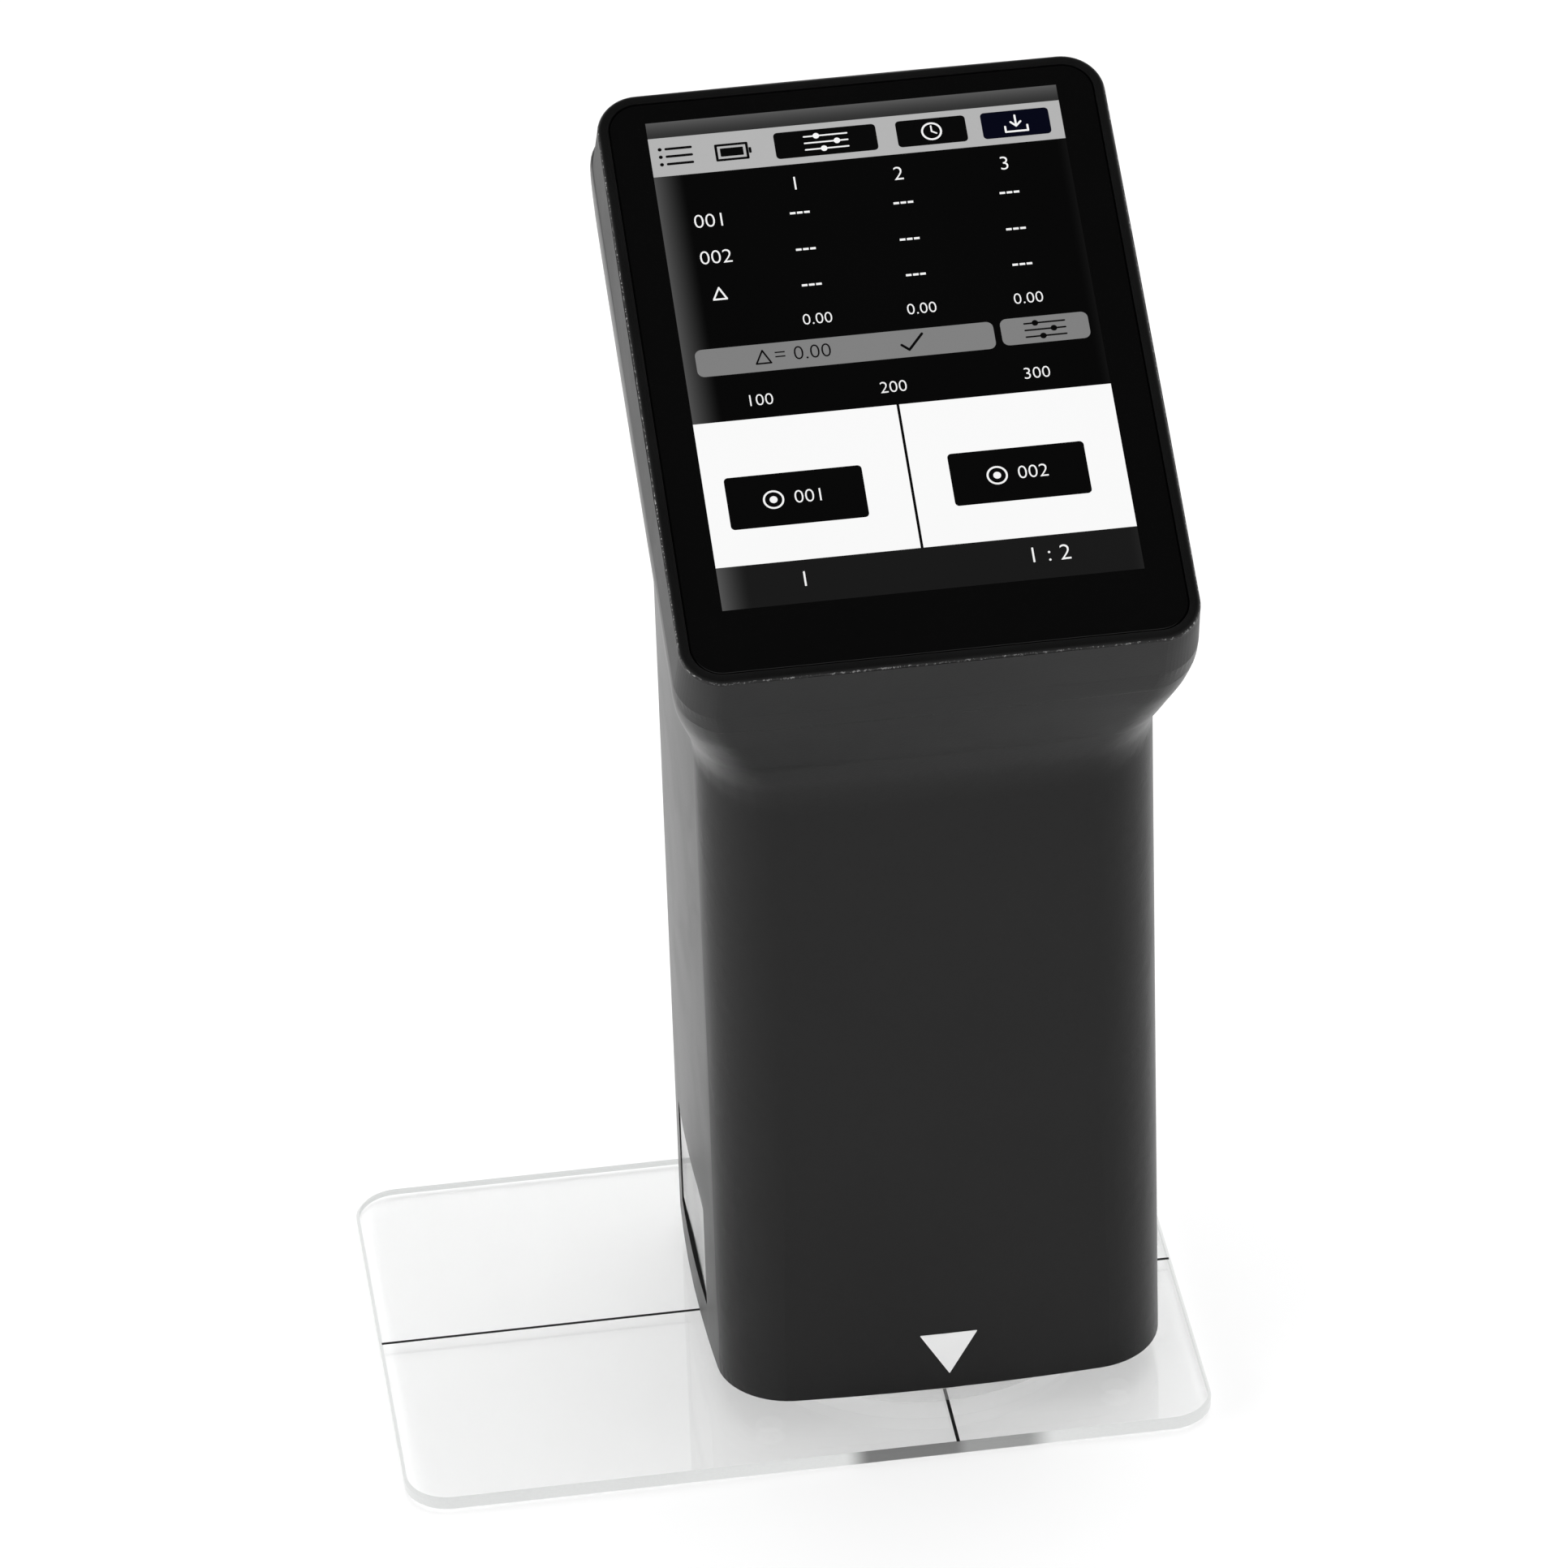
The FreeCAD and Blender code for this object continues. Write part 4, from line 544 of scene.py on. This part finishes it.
plate = bmesh.new()
bmesh.ops.create_grid(plate, x_segments=1, y_segments=1, size=0.5)
bmesh.ops.scale(plate, vec=(plate_size.x * MM, plate_size.y * MM, 1), verts=plate.verts)
bmesh.ops.bevel(plate, geom=plate.verts[:], offset=PLATE_CORNER * MM, affect="VERTICES",
                segments=CORNER_STEPS, profile=0.5, material=-1)
bmesh.ops.delete(plate, geom=plate.faces[:], context="FACES_ONLY")
bmesh.ops.translate(plate, vec=(plate_middle.x, plate_middle.y, PLATE_LOW[2]), verts=plate.verts)
bmesh.ops.create_circle(plate, segments=HOLE_STEPS, radius=NOSE_HOLE * MM,
                        matrix=Matrix.Translation((0, 0, PLATE_LOW[2])))
bmesh.ops.bridge_loops(plate, edges=plate.edges[:])
pull_up(plate, plate_size.z)
plate_rims = [edge for edge in plate.edges if edge.calc_face_angle(0) > SHARP_FROM]
bmesh.ops.bevel(plate, geom=plate_rims, offset=PLATE_EDGE_ROUND * MM, affect="EDGES", segments=1,
                profile=0.5, material=-1)
for face in plate.faces:
    face.material_index = int(abs(face.normal.z) < EDGE_BELOW)
place_piece("clear_plate", plate, [finishes["clear_acrylic"], plate_edge], "plate", "clear_acrylic",
            "locating_plate")

# %% [markdown]
# The grip, neck and head shell of the solid model come as loose patches of triangles, each with its own
# shading. A copy with the patches welded together shades as one smooth moulding, and edges sharper than
# a set angle stay crisp. The skirt of the head is treated the same way. The two meet at the fine seam
# line that runs round the head.

# %% Grip shell and head skirt
WELD = 0.002
SHELL_SMOOTH = math.radians(14)

for shell_name, part_name, slot in (("grip_shell", "main_housing", "housing_black"),
                                    ("head_surround", "head_skirt", "skirt_black")):
    shell = bmesh.new()
    shell.from_mesh(frame["nodes"][part_name].data)
    bmesh.ops.remove_doubles(shell, verts=shell.verts, dist=WELD * MM)
    bmesh.ops.recalc_face_normals(shell, faces=shell.faces[:])
    place_piece(shell_name, shell, [finishes[slot]], "instrument", slot, part_name,
                smooth_below=SHELL_SMOOTH)

# %% [markdown]
# Two fine dark lines cross the plate and meet under the measuring opening, so that the user can lay
# the plate on a mark. They are screen printed on the top, and the centring ring is glued on over them.
# Each arm is one thin strip from the hole almost to the edge.

# %% Cross lines
LINE_WIDE, LINE_THICK = 0.46, 0.02
ARM_START, PLATE_REST = 13.4, 0.3
line_ink = finish("printed_line", grey(0.006), grey(0.016), (0.5, 0.65), 5200, 0.2, Specular_IOR_Level=0.2)
arm_ends = {"left": (-PLATE_LOW[0], math.pi), "right": (PLATE_HIGH[0], 0.0),
            "front": (-PLATE_LOW[1], -math.pi / 2), "back": (PLATE_HIGH[1], math.pi / 2)}

lines = bmesh.new()
for reach, turn in arm_ends.values():
    end = reach / MM - PLATE_REST
    strip = slab(end - ARM_START, LINE_WIDE, 0, 0, LINE_THICK)
    pour(lines, strip, Matrix.Rotation(turn, 4, "Z")
         @ Matrix.Translation(((ARM_START + end) / 2 * MM, 0, PLATE_HIGH[2])))
place_piece("cross_lines", lines, [line_ink], "plate", "nose_black")

# %% [markdown]
# A white arrow on the front of the grip points down at the measuring opening. It is pad printed, so
# it is a film of ink: a three-sided disc, its corners a little rounded, a few hundredths thick.

# %% White arrow
ARROW_WIDE, ARROW_TALL, ARROW_TOP = 7.7, 6.6, 15.0
ARROW_IN, ARROW_OUT = 28.70, 28.79
ARROW_CORNER = 0.12
arrow_ink = finish("white_ink", grey(0.72), grey(0.79), (0.4, 0.5), 4200, 0.08)

arrow = bmesh.new()
bmesh.ops.create_circle(arrow, cap_ends=True, segments=3, radius=1.0)
low_y = min(vert.co.y for vert in arrow.verts)
high_y = max(vert.co.y for vert in arrow.verts)
wide_x = max(vert.co.x for vert in arrow.verts) - min(vert.co.x for vert in arrow.verts)
bmesh.ops.scale(arrow, verts=arrow.verts,
                vec=(ARROW_WIDE * MM / wide_x, -ARROW_TALL * MM / (high_y - low_y), 1))
arrow_top = max(vert.co.y for vert in arrow.verts)
bmesh.ops.bevel(arrow, geom=arrow.verts[:], offset=ARROW_CORNER * MM, affect="VERTICES", segments=3,
                profile=0.5, material=-1)
bmesh.ops.translate(arrow, vec=(0, -arrow_top, 0), verts=arrow.verts)
pull_up(arrow, ARROW_OUT - ARROW_IN)
arrow.transform(Matrix.Translation((0, -ARROW_IN * MM, ARROW_TOP * MM))
                @ Matrix.Rotation(math.pi / 2, 4, "X"))
bmesh.ops.recalc_face_normals(arrow, faces=arrow.faces[:])
place_piece("white_arrow", arrow, [arrow_ink], "instrument", "collar_white")

# %% [markdown]
# The head is tilted, so its pieces get a frame of their own: X to the right, Y up the glass and Z out
# of it. The middle of the glass comes from the box of the glass part.

# %% Head frame
HEAD_TILT = math.radians(28)
GLASS_THICK = 1.1
glass_low, glass_high = (Vector(corner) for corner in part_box("touch_glass"))
head_turn = Matrix.Rotation(HEAD_TILT, 4, "X")
glass_face = (glass_low + glass_high) / 2 + head_turn @ Vector((0, 0, GLASS_THICK / 2 * MM))
HEAD = Matrix.Translation(glass_face) @ head_turn
print("glass face at", [round(value, 4) for value in glass_face])

# %% [markdown]
# The cover glass is ground flat at its rim: a narrow polished bevel runs all round. It mirrors the
# white table and draws the thin bright line between the black glass and the black frame. A bevel of
# one flat segment keeps that line crisp.

# %% Cover glass
GLASS_WIDE, GLASS_LONG, GLASS_CORNER, GLASS_BEVEL = 63.2, 85.0, 4.0, 0.14
GLASS_STEPS, TOP_ZONE = 14, 0.1

glass = slab(GLASS_WIDE, GLASS_LONG, GLASS_CORNER, -GLASS_THICK, 0, GLASS_STEPS)
glass_top = [edge for edge in glass.edges
             if edge.calc_face_angle(0) > SHARP_FROM and min(v.co.z for v in edge.verts) > -TOP_ZONE * MM]
bmesh.ops.bevel(glass, geom=glass_top, offset=GLASS_BEVEL * MM, affect="EDGES", segments=1, profile=0.5,
                material=-1)
glass.transform(HEAD)
place_piece("cover_glass", glass, [finishes["cover_glass"]], "instrument", "cover_glass", "touch_glass")

# %% [markdown]
# Hands and cases wear the round of the rim, and the round also catches bright glints. Both are painted as
# tiny bright flecks along the chin, so the flecks are partly wear and partly painted highlight. They get a
# finish of their own, in which a fine noise, cut off sharply, mixes a paler tone into the black.

# %% Worn edge finish with painted glints
FLECK_SIZE, FLECK_FROM, FLECK_TO = 2700.0, 0.53, 0.66
FLECK_WEAR_GLINT_TONE = 0.2
wear_and_glint_edge = finish("wear_and_glint_rim_edge", grey(0.003), grey(0.007), (0.24, 0.36), 5200, 0.2, Specular_IOR_Level=0.3)
wear_and_glint_tree = wear_and_glint_edge.node_tree
fleck_way = add_node(wear_and_glint_tree, "ShaderNodeTexCoord")
fleck_noise = add_node(wear_and_glint_tree, "ShaderNodeTexNoise", Scale=FLECK_SIZE, Detail=3.0, Roughness=0.7)
fleck_cut = add_node(wear_and_glint_tree, "ShaderNodeMapRange")
fleck_cut.inputs["From Min"].default_value, fleck_cut.inputs["From Max"].default_value = FLECK_FROM, FLECK_TO
fleck_mix = add_node(wear_and_glint_tree, "ShaderNodeMix", {"data_type": "RGBA"})
# The paler tone of the flecks is partly wear and partly painted highlight.
fleck_mix.inputs[7].default_value = (*grey(FLECK_WEAR_GLINT_TONE), 1)
wear_and_glint_shader = wear_and_glint_tree.nodes["Principled BSDF"]
join(wear_and_glint_tree, fleck_way.outputs["Object"], fleck_noise.inputs["Vector"])
join(wear_and_glint_tree, fleck_noise.outputs["Fac"], fleck_cut.inputs["Value"])
join(wear_and_glint_tree, wear_and_glint_shader.inputs["Base Color"].links[0].from_socket, fleck_mix.inputs[6])
join(wear_and_glint_tree, fleck_cut.outputs["Result"], fleck_mix.inputs[0])
join(wear_and_glint_tree, fleck_mix.outputs[2], wear_and_glint_shader.inputs["Base Color"])
print("flecks of about", round(1 / FLECK_SIZE / MM, 2), "mm")

# %% [markdown]
# The rim round the glass is moulded in black and rounded off towards the skirt. The ring starts as a
# face, an inset cuts the opening, an extrusion gives it height and a bevel rounds the outer edge.

# %% Rim round the glass
RIM_WIDE, RIM_LONG, RIM_CORNER = 66.3, 88.1, 5.55
RIM_BROAD, RIM_LOW, RIM_HIGH = 1.45, -0.7, 0.14
RIM_ROUND, RIM_INNER_ROUND = 0.66, 0.16
RIM_STEPS, UPRIGHT, NEAR_TOP = 16, 0.1, 0.01
WEAR_GLINT_FROM, WEAR_GLINT_TO = 0.3, 0.75

rim = rounded_face(RIM_WIDE, RIM_LONG, RIM_CORNER, RIM_LOW, RIM_STEPS)
bmesh.ops.inset_region(rim, faces=rim.faces[:], thickness=RIM_BROAD * MM, use_even_offset=True,
                       use_boundary=True)
opening = max(rim.faces, key=lambda face: face.calc_area())
bmesh.ops.delete(rim, geom=[opening], context="FACES")
pull_up(rim, RIM_HIGH - RIM_LOW)
for outer, rounding, steps in ((True, RIM_ROUND, 6), (False, RIM_INNER_ROUND, 2)):
    edges = []
    for edge in rim.edges:
        sides = [face for face in edge.link_faces if abs(face.normal.z) < UPRIGHT]
        if len(sides) == 1 and min(v.co.z for v in edge.verts) > (RIM_HIGH - NEAR_TOP) * MM:
            middle = (edge.verts[0].co + edge.verts[1].co) / 2
            if (sides[0].normal.dot(middle) > 0) == outer:
                edges.append(edge)
    bmesh.ops.bevel(rim, geom=edges, offset=rounding * MM, affect="EDGES", segments=steps, profile=0.5,
                    material=-1)
rim.normal_update()
# Outward faces of the round, tilted between the two limits, take the flecks of wear and painted glints.
for face in rim.faces:
    outward = face.normal.dot(face.calc_center_median() * Vector((1, 1, 0))) > 0
    face.material_index = int(outward and WEAR_GLINT_FROM < face.normal.z < WEAR_GLINT_TO)
print(sum(face.material_index for face in rim.faces), "worn faces")
rim.transform(HEAD)
place_piece("bezel_rim", rim, [finishes["rim_black"], wear_and_glint_edge], "instrument", "rim_black", "screen_frame")

# %% [markdown]
# The display shines by itself. Its back light is never quite even, and a fine grid of picture points
# lies over it, so a second node group makes both: Level for the slow change, Left and Right for the
# pale glow that creeps in from the edges of the lit area, and Down for the strip along the top, which
# is brighter at its upper edge.

# %% Group for the back light
SCREEN_HALF_WIDE, SCREEN_HALF_TALL = 26.82, 36.5
LEFT_GLOW_WIDE, RIGHT_GLOW_WIDE = 3.9, 1.4
SCREEN_UP, STRIP_FROM = 3.0, 34.1
SLOW_SIZE, GLOW_BEND = 22.0, 1.7
strip_low, strip_top = (glass_face.z / MM + (SCREEN_UP + along) * math.sin(HEAD_TILT)
                        for along in (STRIP_FROM, SCREEN_HALF_TALL))

light_tree, light_in, light_out = new_group(
    "back_light", {"Point Size": 9000.0}, ("Level", "Left", "Right", "Down"))
light_way = add_node(light_tree, "ShaderNodeTexCoord")
light_axes = add_node(light_tree, "ShaderNodeSeparateXYZ")
light_slow = add_node(light_tree, "ShaderNodeTexNoise", Scale=SLOW_SIZE, Detail=1.0)
light_fine = add_node(light_tree, "ShaderNodeTexNoise", Detail=0.0)
light_mix = add_node(light_tree, "ShaderNodeMix", {"data_type": "FLOAT"}, Factor=0.3)
join(light_tree, light_way.outputs["Object"], light_axes.inputs["Vector"])
join(light_tree, light_way.outputs["Object"], light_slow.inputs["Vector"])
join(light_tree, light_way.outputs["Object"], light_fine.inputs["Vector"])
join(light_tree, light_in.outputs["Point Size"], light_fine.inputs["Scale"])
join(light_tree, light_slow.outputs["Fac"], light_mix.inputs[2])
join(light_tree, light_fine.outputs["Fac"], light_mix.inputs[3])
join(light_tree, light_mix.outputs[0], light_out.inputs["Level"])
for label, axis, start, stop in (
        ("Left", "X", LEFT_GLOW_WIDE - SCREEN_HALF_WIDE, -SCREEN_HALF_WIDE),
        ("Right", "X", SCREEN_HALF_WIDE - RIGHT_GLOW_WIDE, SCREEN_HALF_WIDE),
        ("Down", "Z", strip_low, strip_top)):
    fall = add_node(light_tree, "ShaderNodeMapRange")
    fall.inputs["From Min"].default_value = start * MM
    fall.inputs["From Max"].default_value = stop * MM
    join(light_tree, light_axes.outputs[axis], fall.inputs["Value"])
    bend = add_node(light_tree, "ShaderNodeMath", {"operation": "POWER"})
    bend.inputs[1].default_value = GLOW_BEND
    join(light_tree, fall.outputs["Result"], bend.inputs[0])
    join(light_tree, bend.outputs[0], light_out.inputs[label])
print("group", light_tree.name, "has", len(light_tree.nodes), "nodes")

# %% [markdown]
# A lit colour is an emission colour on a black base. The Level mask moves it between two close tones,
# and the dark fields also take the glow of the edges.

# %% Lit colour maker
def lit(name, low, high, left=0.0, right=0.0, down=0.0):
    material = bpy.data.materials.new(name)
    material.use_nodes = True
    tree = material.node_tree
    shader = tree.nodes["Principled BSDF"]
    shader.inputs["Base Color"].default_value = (0, 0, 0, 1)
    shader.inputs["Specular IOR Level"].default_value = 0.05
    shader.inputs["Emission Strength"].default_value = 1.0
    light = add_node(tree, "ShaderNodeGroup", {"node_tree": light_tree})
    tone = add_node(tree, "ShaderNodeMix", {"data_type": "RGBA"})
    tone.inputs[6].default_value, tone.inputs[7].default_value = (*low, 1), (*high, 1)
    join(tree, light.outputs["Level"], tone.inputs[0])
    lit_socket = tone.outputs[2]
    for label, level in (("Left", left), ("Right", right), ("Down", down)):
        if level:
            glow = add_node(tree, "ShaderNodeMix", {"data_type": "RGBA"})
            glow.inputs[7].default_value = (*grey(level), 1)
            join(tree, light.outputs[label], glow.inputs[0])
            join(tree, lit_socket, glow.inputs[6])
            lit_socket = glow.outputs[2]
    join(tree, lit_socket, shader.inputs["Emission Color"])
    return material


screen_lights = {
    "field": lit("screen_dark_field", grey(0.0008), grey(0.003), 0.075, 0.006),
    "strip": lit("screen_top_strip", grey(0.026), grey(0.034), down=0.094),
    "bar": lit("screen_grey_bar", grey(0.40), grey(0.50)),
    "panel": lit("screen_white_panel", grey(0.92), grey(0.98)),
    "key": lit("screen_black_key", grey(0.0015), grey(0.003)),
    "slot": lit("screen_grey_slot", grey(0.19), grey(0.24)),
    "foot": lit("screen_foot_strip", grey(0.008), grey(0.012), 0.085, 0.015),
    "mark": lit("screen_white_mark", grey(0.86), grey(0.98)),
    "blue": lit("screen_navy_key", (0.0012, 0.0015, 0.006), (0.002, 0.0025, 0.010)),
}
LIGHT_ORDER = list(screen_lights)
print(len(screen_lights), "lit colours")

# %% [markdown]
# The display's middle lies a little above the middle of the glass. Layers a few hundredths of a
# millimetre apart keep its fields in order.

# %% Display frame
LAYER = 0.02
SCREEN = HEAD @ Matrix.Translation((0, SCREEN_UP * MM, 0))
screen = bmesh.new()


def patch(light, left, right, low, high, corner=0.0, layer=1):
    made = slab(right - left, high - low, corner, 0, layer * LAYER)
    middle = Matrix.Translation(((left + right) / 2 * MM, (low + high) / 2 * MM, 0))
    pour(screen, made, SCREEN @ middle, LIGHT_ORDER.index(light))


print("display lies", SCREEN_UP, "mm above the middle of the glass")

# %% [markdown]
# First come the large fields of the picture: a dark ground, the grey strip and bar at the top, the
# long result slot, the white panel with its dividing line and the dark foot with the two modes.

# %% Display fields
BAR_LOW = 28.25
PANEL_LOW, PANEL_HIGH = -30.3, -9.1
SLOT_CORNER, KEY_CORNER = 0.9, 0.55

for light, low, high, layer in (("field", -SCREEN_HALF_TALL, SCREEN_HALF_TALL, 1),
                                ("strip", STRIP_FROM, SCREEN_HALF_TALL, 2),
                                ("bar", BAR_LOW, STRIP_FROM, 2),
                                ("panel", PANEL_LOW, PANEL_HIGH, 2),
                                ("foot", -SCREEN_HALF_TALL, PANEL_LOW, 2)):
    patch(light, -SCREEN_HALF_WIDE, SCREEN_HALF_WIDE, low, high, layer=layer)
patch("slot", -25.2, 13.2, -2.25, 1.8, SLOT_CORNER, 2)
patch("slot", 14.1, 25.45, -2.0, 1.95, SLOT_CORNER, 2)
patch("key", -0.76, -0.41, PANEL_LOW, PANEL_HIGH, layer=3)
for light, left, right, low, high in (
        ("key", -10.7, 2.6, 29.2, 33.2), ("key", 5.2, 14.3, 29.2, 33.2), ("blue", 16.3, 25.2, 29.2, 33.2),
        ("key", -24.1, -6.5, -25.05, -17.4), ("key", 4.5, 22.0, -24.8, -17.1)):
    patch(light, left, right, low, high, KEY_CORNER, 3)
print("display fields ready")

# %% [markdown]
# Figures are made with the text tool and turned into a mesh at once, because a mesh can be moved into
# the tilted frame with its place kept in its points. Only plain figures are used.

# %% Figures
FIGURE_SLIM, FIGURE_STEPS, FIGURE_WELD = 0.012, 4, 1e-7


def figures(text, size, x, y, light="mark", layer=4):
    curve = bpy.data.curves.new("figures", "FONT")
    curve.body = text
    curve.size = size * MM
    curve.align_x, curve.align_y = "CENTER", "CENTER"
    curve.extrude = LAYER * MM
    curve.offset = -FIGURE_SLIM * size * MM
    curve.resolution_u = FIGURE_STEPS
    holder = bpy.data.objects.new("figures", curve)
    bpy.context.collection.objects.link(holder)
    bpy.context.view_layer.update()
    mesh = bpy.data.meshes.new_from_object(holder.evaluated_get(bpy.context.evaluated_depsgraph_get()))
    made = bmesh.new()
    made.from_mesh(mesh)
    bmesh.ops.remove_doubles(made, verts=made.verts, dist=FIGURE_WELD)
    place = Matrix.Translation((x * MM, y * MM, layer * LAYER * MM))
    pour(screen, made, SCREEN @ place, LIGHT_ORDER.index(light))
    bpy.data.objects.remove(holder)
    bpy.data.curves.remove(curve)
    bpy.data.meshes.remove(mesh)


DASH_ROWS, DASH_COLUMNS = (20.85, 15.3, 9.9), (-8.9, 4.55, 18.35)
DASH_STEP, DASH_HALF_LONG, DASH_HALF_TALL = 0.92, 0.36, 0.14
for number, x in enumerate(DASH_COLUMNS, 1):
    figures(str(number), 2.9, x, 25.2)
    figures("0.00", 2.3, x, 4.7)
    for y in DASH_ROWS:
        for middle in (x - DASH_STEP, x, x + DASH_STEP):
            patch("mark", middle - DASH_HALF_LONG, middle + DASH_HALF_LONG,
                  y - DASH_HALF_TALL, y + DASH_HALF_TALL, layer=4)
for number, y in enumerate(DASH_ROWS[:2], 1):
    figures(f"00{number}", 2.9, -20.5, y)
figures("= 0.00", 2.9, -11.5, -0.15, "key")
for number, x in enumerate((-17.9, -0.75, 17.7), 1):
    figures(f"{number}00", 2.4, x, -6.5)
for text, size, x, y in (("001", 2.7, -13.6, -21.2), ("002", 2.7, 15.0, -20.9),
                         ("1", 3.2, -15.9, -33.2), ("1 : 2", 3.2, 15.2, -33.1)):
    figures(text, size, x, y)
print("figures set")

# %% [markdown]
# Small signs replace words: a menu of three lines, a battery, sliders for settings, a clock for
# earlier readings, a tray for saving, triangles for differences, a tick for a good result and ringed
# dots for measuring. Each is a few slabs, rings or cut discs on the same layers.

# %% Signs
def ring(x, y, outer, inner, light="mark", layer=4, segments=32):
    made = bmesh.new()
    bmesh.ops.create_circle(made, segments=segments, radius=outer * MM)
    bmesh.ops.create_circle(made, segments=segments, radius=inner * MM)
    bmesh.ops.bridge_loops(made, edges=made.edges[:])
    pull_up(made, layer * LAYER)
    pour(screen, made, SCREEN @ Matrix.Translation((x * MM, y * MM, 0)), LIGHT_ORDER.index(light))


def disc(x, y, radius, light="mark", layer=4, sides=20, turn=0.0):
    made = bmesh.new()
    bmesh.ops.create_circle(made, cap_ends=True, segments=sides, radius=radius * MM)
    pull_up(made, layer * LAYER)
    place = Matrix.Translation((x * MM, y * MM, 0)) @ Matrix.Rotation(turn, 4, "Z")
    pour(screen, made, SCREEN @ place, LIGHT_ORDER.index(light))


def stroke(x0, y0, x1, y1, wide=0.3, light="mark", layer=4):
    way = Vector((x1 - x0, y1 - y0, 0))
    made = slab(way.length + wide, wide, wide * 0.45, 0, layer * LAYER, 3)
    place = (Matrix.Translation(((x0 + x1) / 2 * MM, (y0 + y1) / 2 * MM, 0))
             @ Matrix.Rotation(math.atan2(way.y, way.x), 4, "Z"))
    pour(screen, made, SCREEN @ place, LIGHT_ORDER.index(light))


def triangle(x, y, wide, tall, light="mark", pen=0.22):
    corners = ((x - wide / 2, y - tall / 2), (x + wide / 2, y - tall / 2), (x, y + tall / 2))
    for (x0, y0), (x1, y1) in zip(corners, corners[1:] + corners[:1]):
        stroke(x0, y0, x1, y1, pen, light)


for row_y in (32.35, 31.2, 30.05):
    stroke(-24.7, row_y, -21.5, row_y, 0.36, "key", 3)
    disc(-25.5, row_y, 0.26, "key", 3)
for x0, y0, x1, y1 in ((-18.3, 29.9, -14.3, 29.9), (-18.3, 32.15, -14.3, 32.15),
                       (-18.3, 29.9, -18.3, 32.15), (-14.3, 29.9, -14.3, 32.15)):
    stroke(x0, y0, x1, y1, 0.34, "key", 3)
patch("key", -17.8, -14.8, 30.4, 31.65, 0.1, 3)
patch("key", -14.1, -13.75, 30.6, 31.45, 0.1, 3)
triangle(-20.8, 9.9, 1.7, 1.7)
triangle(-16.6, -0.15, 1.9, 1.9, "key")
stroke(1.2, -0.4, 2.1, -1.2, 0.34, "key")
stroke(2.1, -1.2, 4.0, 1.0, 0.34, "key")
print("first signs set")

# %% [markdown]
# The signs on the black keys are white and those on the grey slot black. Sliders, a clock, a tray and
# ringed dots come from the same strokes, discs and rings.

# %% Signs on the keys
CLOCK_PEN, TRAY_PEN, KNOB = 0.2, 0.26, 0.42

for row_y, knob in ((32.2, -5.2), (31.2, -2.6), (30.2, -4.4)):
    stroke(-6.8, row_y, -1.2, row_y, CLOCK_PEN)
    disc(knob, row_y, KNOB)
ring(9.75, 31.2, 1.35, 1.1)
for hand in ((9.75, 31.2, 9.75, 32.0), (9.75, 31.2, 10.35, 30.85)):
    stroke(*hand, CLOCK_PEN)
for side in ((20.75, 32.4, 20.75, 30.9), (20.75, 30.8, 20.1, 31.45), (20.75, 30.8, 21.4, 31.45),
             (19.3, 30.0, 22.2, 30.0), (19.3, 30.0, 19.3, 30.8), (22.2, 30.0, 22.2, 30.8)):
    stroke(*side, TRAY_PEN)
for row_y, knob in ((0.95, 18.6), (-0.05, 20.9), (-1.05, 19.4)):
    stroke(17.2, row_y, 22.4, row_y, 0.22, "key")
    disc(knob, row_y, KNOB, "key")
for x, y in ((-18.2, -21.2), (10.4, -20.9)):
    ring(x, y, 1.35, 1.1)
    disc(x, y, 0.5)
print("signs on the keys set")

# %% [markdown]
# All the layers were poured into one shape, so the display is one piece with nine lit colours. It rides
# on the instrument and lies on the glass, where the eye sees the picture.

# %% The display piece
place_piece("display_picture", screen, [screen_lights[name] for name in LIGHT_ORDER], "instrument",
            "display")
